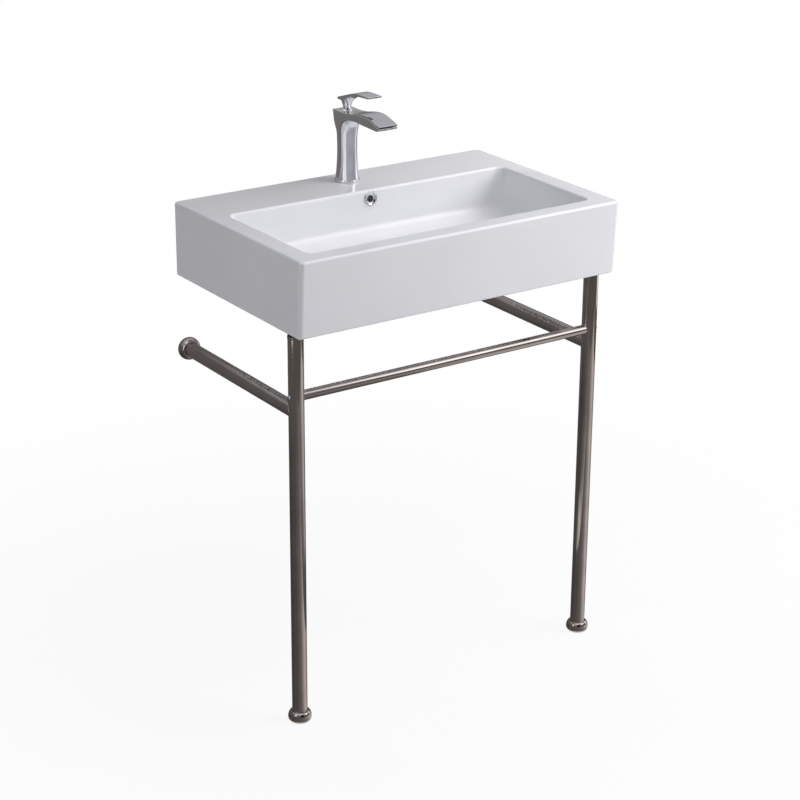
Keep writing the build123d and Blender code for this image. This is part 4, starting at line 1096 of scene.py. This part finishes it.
def socket_screw(name, radius, length, head_r, head, key):
    outline = [(0, -length), (radius, -length), (radius, 0)]
    if head_r:
        outline += [(head_r, 0), (head_r, head * 0.25)]
        outline += [
            (head_r * math.cos(a), head * (0.25 + 0.75 * math.sin(a))) for a in (0.35, 0.7, 1.0, 1.25)
        ]
    outline += [(0, head)]
    screw = turned_piece(name, outline, steps=48, ease=0.00012)
    hexagon = [Vector((key * math.cos(k * math.pi / 3), key * math.sin(k * math.pi / 3), 0)) for k in range(6)]
    rings = [[p + Vector((0, 0, z)) for p in hexagon] for z in (head - 0.0016, head + 0.002)]
    return combine(screw, [ring_piece("key", rings, cap_first=True, cap_last=True)], "DIFFERENCE", 25)


# %% Set screws in the flanges, screws of the rail
quarter = math.pi / 2
seats, turns = [], []
for side in (-1, 1):
    seats += [(side * LEG_X, LEG_Y + TUBE_R + 0.0044, FLANGE_BULGE), (side * LEG_X, WALL_Y - FLANGE_BULGE, BAR_Z - TUBE_R - 0.0044)]
    turns += [(-quarter, 0, 0), (math.pi, 0, 0)]
grub = socket_screw("grub", 0.0025, 0.0043, 0, 0, 0.0013)
set_screws = set_out("flange_grub_screws", grub, seats, turns, bright_steel)
dress(set_screws, bright_steel, "spring_steel", "frame", "flange_set_screws")
button = socket_screw("button", 0.003, 0.030, 0.005, 0.0032, 0.0016)
seats = [(side * (LEG_X + TUBE_R), LEG_Y, RAIL_Z) for side in (-1, 1)]
turns = [(0, side * quarter, 0) for side in (-1, 1)]
rail_screws = set_out("rail_button_screws", button, seats, turns, bright_steel)
dress(rail_screws, bright_steel, "spring_steel", "frame", "rail_screws")
lever_grub = socket_screw("lever_grub_pattern", GRUB_R * MM, 0.0035, 0, 0, 0.0011)
lever_screw = set_out("lever_grub", lever_grub, [at_tap(0, 7.5, GRUB_Z)], [(-quarter, 0, 0)], bright_steel)
dress(lever_screw, bright_steel, "spring_steel", "lever_arm", "lever_screw")

# %% [markdown]
# The aerator's face is a comb of small six-sided cells behind a chrome ring. The cells are one
# pattern set on a triangular grid of points inside the ring's eye.

# %% Aerator ring and comb
AERATOR_Y, AERATOR_Z = -116.0, 121.1
ring_low, ring_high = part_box("aerator_housing")
outline = [(8.6, 0), (11, 0), (11, 8), (9.6, 8), (9.6, 1.5), (8.6, 1.5)]
outline = [(r * MM, ring_low.z + h * MM) for r, h in outline]
aerator = turned_piece("aerator_ring", outline, (0, TAP_Y + AERATOR_Y * MM, 0), ease=0.0004)
dress(aerator, chrome, "chrome", "frame", "aerator_housing")
CELL = 0.0011
comb_rows = int(0.0084 / (CELL * 1.5)) + 1
seats = []
for row in range(-comb_rows, comb_rows + 1):
    for column in range(-comb_rows - 1, comb_rows + 2):
        x = (column + 0.5 * (row % 2)) * CELL * math.sqrt(3)
        y = row * CELL * 1.5
        if math.hypot(x, y) < 0.0076:
            seats.append((x, TAP_Y + AERATOR_Y * MM + y, ring_low.z + 0.0007))
six = [math.pi / 6 + k * math.pi / 3 for k in range(6)]
cell_rings = [
    [Vector((r * math.cos(a), r * math.sin(a), z)) for a in six]
    for r, z in ((CELL * 0.99, 0.0), (CELL * 0.99, 0.0008), (CELL * 0.8, 0.0008), (CELL * 0.8, 0.0))
]
cell = ring_piece("cell", cell_rings, smooth_angle=20, along=True)
comb = set_out("aerator_comb", cell, seats, [(0, 0, 0)] * len(seats), white_plastic)
dress(comb, white_plastic, "white_plastic", "frame")
print("cells:", len(seats))

# %% [markdown]
# ## Round pieces, and the fixings
#
# The ring under the tap, the supports on the legs, the stopper and its flange are turned pieces
# with soft edges. The pieces under the bowl keep the solids' own shapes, with merged corners so
# that they shade smoothly.

# %% Turned pieces
base_low, base_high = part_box("tap_base_ring")
outline = [(0.0165, 0), (0.0235, 0), (0.0235, base_high.z - RIM), (0.0165, base_high.z - RIM)]
outline = [(r, RIM + h) for r, h in outline]
base_ring = turned_piece("tap_foot_ring", outline, (0, TAP_Y, 0), ease=0.0014)
dress(base_ring, chrome, "chrome", "frame", "tap_base_ring")
for node, name, finish, slot, radius, ease in (
    ("support_plates", "support_disc", steel, "stainless", 0.0145, 0.0006),
    ("support_pads", "support_cushion", rubber, "rubber", 0.0138, 0.0008),
):
    low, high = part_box(node)
    foot = high.z - (0.004 if node == "support_plates" else 0.007)
    bm = bmesh.new()
    for side in (-1, 1):
        outline = [(0, foot), (radius, foot), (radius, high.z), (0, high.z)]
        turned_bm(bm, outline, (side * LEG_X, LEG_Y, 0), ease=ease)
    dress(finish_mesh(name, bm), finish, slot, "frame", node)
cap_low, cap_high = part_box("stopper_cap")
cap_base = cap_high.z - 0.006
cap_outline = [(0.0036, cap_base - 0.0045), (0.014, cap_base - 0.0045), (0.014, cap_base), (0.0296, cap_base), (0.030, cap_base + 0.0005)]
cap_outline += [(0.030 * math.cos(a), cap_base + 0.0018 + 0.0042 * math.sin(a)) for a in [math.pi / 2 * k / 12 for k in range(1, 12)]]
cap_outline += [(0, cap_high.z), (0, cap_base - 0.0002), (0.0036, cap_base - 0.0002)]
cap = turned_piece("stopper_dome", cap_outline, (0, WASTE_Y, 0))
even_shading(cap)
dress(cap, chrome, "chrome", "stopper", "stopper_cap")

# %% Smooth copies of the fixings
copies = [
    ("waste_body", "waste_barrel", "frame"),
    ("waste_nut", "waste_back_nut", "frame"),
    ("waste_washer", "waste_cone_washer", "frame"),
    ("tailpiece", "waste_tail", "frame"),
    ("inlet_tails", "inlet_pipes", "frame"),
    ("fixing_plate", "tap_horseshoe", "frame"),
    ("fixing_nut", "tap_back_nut", "frame"),
]
slot_of = {part["node"]: part["material_slot"] for part in frame["record"]["subparts"]}
for node, name, body in copies:
    dress(merged_copy(name, node), finish_by_slot[slot_of[node]], slot_of[node], body, node)

# %% [markdown]
# ## The studio
#
# One softbox hangs overhead, and a larger one stands near at the right in front, so the basin's
# front is brightest at its right end and its left side stays in half shade.

# %% Softboxes
def softbox(name, place, aim, width, height, power, tint=(1, 1, 1)):
    data = bpy.data.lights.new(name, "AREA")
    data.shape = "RECTANGLE"
    data.size, data.size_y = width, height
    data.energy = power
    data.color = tint
    lamp = bpy.data.objects.new(name, data)
    bpy.context.scene.collection.objects.link(lamp)
    lamp.location = place
    lamp.rotation_euler = (Vector(aim) - Vector(place)).to_track_quat("-Z", "Y").to_euler()
    return lamp


MIDDLE = (0, 0, 0.6)
lamps = [
    softbox("overhead", (0.9, -0.6, 2.8), MIDDLE, 2.4, 2.2, 18),
    softbox("key_right", (1.7, -1.3, 2.0), MIDDLE, 1.4, 1.6, 42),
    softbox("fill_left", (-2.6, -0.6, 1.4), MIDDLE, 1.8, 2.0, 8),
]
for lamp in lamps:
    lamp.visible_glossy = False

# %% Floor, white where nothing shades it
def stage_plane(name, corners, material):
    mesh = bpy.data.meshes.new(name)
    mesh.from_pydata(corners, [], [(0, 1, 2, 3)])
    mesh.materials.append(material)
    panel = bpy.data.objects.new(name, mesh)
    bpy.context.scene.collection.objects.link(panel)
    return panel


floor_finish = bpy.data.materials.new("studio_floor")
floor_finish.use_nodes = True
tree = floor_finish.node_tree
matt = tree.nodes["Principled BSDF"]
matt.inputs["Roughness"].default_value = 0.9
matt.inputs["Specular IOR Level"].default_value = 0.1
coordinates = node_of(tree, "ShaderNodeTexCoord").outputs["Object"]
tree.links.new(ramp_between(tree, noise_into(tree, coordinates, 3.0), (0.80, 0.80, 0.80), (0.84, 0.84, 0.84)), matt.inputs["Base Color"])
rays = node_of(tree, "ShaderNodeLightPath")
seen = node_of(tree, "ShaderNodeMath", operation="MAXIMUM")
tree.links.new(rays.outputs["Is Camera Ray"], seen.inputs[0])
tree.links.new(rays.outputs["Is Glossy Ray"], seen.inputs[1])
seen_all = node_of(tree, "ShaderNodeMath", operation="MAXIMUM")
tree.links.new(seen.outputs[0], seen_all.inputs[0])
tree.links.new(rays.outputs["Is Transmission Ray"], seen_all.inputs[1])
distance = node_of(tree, "ShaderNodeVectorMath", operation="LENGTH")
tree.links.new(coordinates, distance.inputs[0])
fade = node_of(tree, "ShaderNodeMapRange")
for label, value in (("From Min", 0.5), ("From Max", 1.5), ("To Min", 0.90), ("To Max", 1.0)):
    fade.inputs[label].default_value = value
tree.links.new(distance.outputs["Value"], fade.inputs["Value"])
share = node_of(tree, "ShaderNodeMath", operation="MULTIPLY")
tree.links.new(seen_all.outputs[0], share.inputs[0])
tree.links.new(fade.outputs["Result"], share.inputs[1])
white = node_of(tree, "ShaderNodeEmission")
blend = node_of(tree, "ShaderNodeMixShader")
tree.links.new(share.outputs[0], blend.inputs["Fac"])
tree.links.new(matt.outputs["BSDF"], blend.inputs[1])
tree.links.new(white.outputs["Emission"], blend.inputs[2])
tree.links.new(blend.outputs["Shader"], tree.nodes["Material Output"].inputs["Surface"])
SPREAD = 20.0
floor = stage_plane(
    "studio_floor", [(-SPREAD, -SPREAD, 0), (SPREAD, -SPREAD, 0), (SPREAD, SPREAD, 0), (-SPREAD, SPREAD, 0)], floor_finish
)

# %% [markdown]
# Polished metal has no colour of its own to show: it shows the room. The photograph's tubes are
# dark and brown below and its tap is grey, with thin white stripes. So cards stand round the
# object that only a mirror ray can see: a brown one on the floor, paler to the right, grey ones
# as walls, paler higher up, two white ones for the stripes and a black one in front.

# %% A glowing finish for the cards
def card_finish(name, stops, reader, strength=1.0):
    material = bpy.data.materials.new(name)
    material.use_nodes = True
    tree = material.node_tree
    tree.nodes.clear()
    ramp = node_of(tree, "ShaderNodeValToRGB")
    for k, (place, colour) in enumerate(stops):
        elements = ramp.color_ramp.elements
        stop = elements[k] if k < 2 else elements.new(place)
        stop.position = place
        stop.color = (*colour, 1)
    tree.links.new(reader(tree, node_of(tree, "ShaderNodeTexCoord").outputs["Object"]), ramp.inputs["Fac"])
    glow, out = node_of(tree, "ShaderNodeEmission"), node_of(tree, "ShaderNodeOutputMaterial")
    glow.inputs["Strength"].default_value = strength
    tree.links.new(ramp.outputs["Color"], glow.inputs["Color"])
    tree.links.new(glow.outputs["Emission"], out.inputs["Surface"])
    return material


def along(axis, start, end):
    def reader(tree, coordinates):
        parts = node_of(tree, "ShaderNodeSeparateXYZ")
        share = node_of(tree, "ShaderNodeMapRange")
        share.inputs["From Min"].default_value = start
        share.inputs["From Max"].default_value = end
        tree.links.new(coordinates, parts.inputs[0])
        tree.links.new(parts.outputs[axis], share.inputs["Value"])
        return share.outputs["Result"]

    return reader


def round_leg(leg_x):
    def reader(tree, coordinates):
        shifted = node_of(tree, "ShaderNodeMapping")
        shifted.inputs["Location"].default_value = (-leg_x, -LEG_Y, 0)
        fan = node_of(tree, "ShaderNodeTexGradient", gradient_type="RADIAL")
        tree.links.new(coordinates, shifted.inputs["Vector"])
        tree.links.new(shifted.outputs["Vector"], fan.inputs["Vector"])
        return fan.outputs["Fac"]

    return reader


# %% Cards that only the reflections see
LEFT_CARD, RIGHT_CARD, FRONT_CARD, BACK_CARD, CARD_TOP = -1.7, 2.0, -2.3, 0.9, 2.6
CARD_BROWN, CARD_GREY = (1.0, 0.94, 0.93), (0.94, 0.95, 1.0)
# tone of the floor cards by angle round each leg: painted reflection bands on the legs
FLOOR_FAN = [
    (-180, 0.15), (-160, 0.12), (-137, 0.17), (-114, 0.20), (-90, 0.27), (-66, 0.50), (-38, 0.90), (-10, 0.65),
    (10, 0.35), (30, 0.16), (90, 0.11), (150, 0.10), (180, 0.15),
]
WALL_RISE = [(0.0, 0.15), (1.10, 0.20), (1.28, 0.46), (CARD_TOP, 0.55)]


def toned(colour, tone):
    return tuple(tone * part for part in colour)


def floor_stops():
    return [
        ((angle + 180) / 360, toned(CARD_BROWN if tone < 0.3 else (1.0, 0.95, 0.94), tone))
        for angle, tone in FLOOR_FAN
    ]


wall_card = card_finish(
    "wall_card",
    [(height / CARD_TOP, toned(CARD_BROWN if tone < 0.25 else CARD_GREY, tone)) for height, tone in WALL_RISE],
    along("Z", 0, CARD_TOP),
)
black_card = card_finish("black_card", [(0, (0.012, 0.012, 0.013)), (1, (0.012, 0.012, 0.013))], along("Z", 0, 2))
white_card = card_finish("white_card", [(0, (0.9, 0.9, 0.92)), (1, (1.0, 1.0, 1.0))], along("Z", 0, 2), 1.5)
key_glow = card_finish("key_glow", [(0, (0.9, 0.9, 0.92)), (1, (1.0, 1.0, 1.0))], along("Z", 0, 2), 2.3)
deck_card = card_finish("deck_card", [(0, (0.19, 0.18, 0.18)), (1, (0.85, 0.85, 0.88))], along("X", 0.25, 1.2))


def upright_card(name, first, last, foot, head, material):
    corners = [(*first, foot), (*last, foot), (*last, head), (*first, head)]
    return stage_plane(name, corners, material)


def level_card(name, first_x, last_x, material):
    corners = [(first_x, FRONT_CARD), (last_x, FRONT_CARD), (last_x, BACK_CARD), (first_x, BACK_CARD)]
    return stage_plane(name, [(x, y, 0.004) for x, y in corners], material)


# every card glows for mirror rays only, as painted reflections; the key card paints the highlight of the key lamp,
# which mirror rays don't see, and the deck stripe paints a pale reflected band on the deck
cards = [
    level_card("floor_card_left", LEFT_CARD, 0, card_finish("left_fan", floor_stops(), round_leg(-LEG_X))),
    level_card("floor_card_right", 0, RIGHT_CARD, card_finish("right_fan", floor_stops(), round_leg(LEG_X))),
    upright_card("back_card", (LEFT_CARD, BACK_CARD), (RIGHT_CARD, BACK_CARD), 0, CARD_TOP, wall_card),
    upright_card("left_card", (LEFT_CARD, FRONT_CARD), (LEFT_CARD, BACK_CARD), 0, CARD_TOP, wall_card),
    upright_card("right_card", (RIGHT_CARD, FRONT_CARD), (RIGHT_CARD, BACK_CARD), 0, CARD_TOP, wall_card),
    upright_card("front_card", (LEFT_CARD, FRONT_CARD), (RIGHT_CARD, FRONT_CARD), 0, CARD_TOP, wall_card),
    upright_card("left_stripe", (LEFT_CARD + 0.01, -0.74), (LEFT_CARD + 0.01, -0.2), 0.42, 1.7, white_card),
    upright_card("right_stripe", (RIGHT_CARD - 0.01, -0.8), (RIGHT_CARD - 0.01, 0.3), 0.2, 1.6, white_card),
    upright_card("deck_stripe", (0.35, BACK_CARD - 0.01), (RIGHT_CARD, BACK_CARD - 0.01), 1.05, 1.18, deck_card),
    upright_card("key_card", (1.2, -2.2), (1.95, -1.2), 1.2, 2.5, key_glow),
    upright_card("front_black", (-1.3, FRONT_CARD + 0.01), (0.2, FRONT_CARD + 0.01), 0.35, 2.2, black_card),
]
for card in cards:
    card.visible_camera = False
    card.visible_diffuse = False
    card.visible_shadow = False
    card.visible_transmission = False
print("cards:", len(cards))

# %% The world: white to look at, dim as a light
world = bpy.data.worlds.new("studio")
bpy.context.scene.world = world
world.use_nodes = True
tree = world.node_tree
tree.nodes.clear()
rays = node_of(tree, "ShaderNodeLightPath")
first = node_of(tree, "ShaderNodeMath", operation="MAXIMUM")
second = node_of(tree, "ShaderNodeMath", operation="MAXIMUM")
tree.links.new(rays.outputs["Is Camera Ray"], first.inputs[0])
tree.links.new(rays.outputs["Is Glossy Ray"], first.inputs[1])
tree.links.new(first.outputs[0], second.inputs[0])
tree.links.new(rays.outputs["Is Transmission Ray"], second.inputs[1])
lit, shown = node_of(tree, "ShaderNodeBackground"), node_of(tree, "ShaderNodeBackground")
lit.inputs["Color"].default_value = (0.93, 0.95, 1.0, 1)
lit.inputs["Strength"].default_value = 0.34
shown.inputs["Color"].default_value = (1, 1, 1, 1)
mixed, out = node_of(tree, "ShaderNodeMixShader"), node_of(tree, "ShaderNodeOutputWorld")
tree.links.new(second.outputs[0], mixed.inputs["Fac"])
tree.links.new(lit.outputs["Background"], mixed.inputs[1])
tree.links.new(shown.outputs["Background"], mixed.inputs[2])
tree.links.new(mixed.outputs["Shader"], out.inputs["Surface"])
bpy.context.scene.view_settings.view_transform = "Standard"
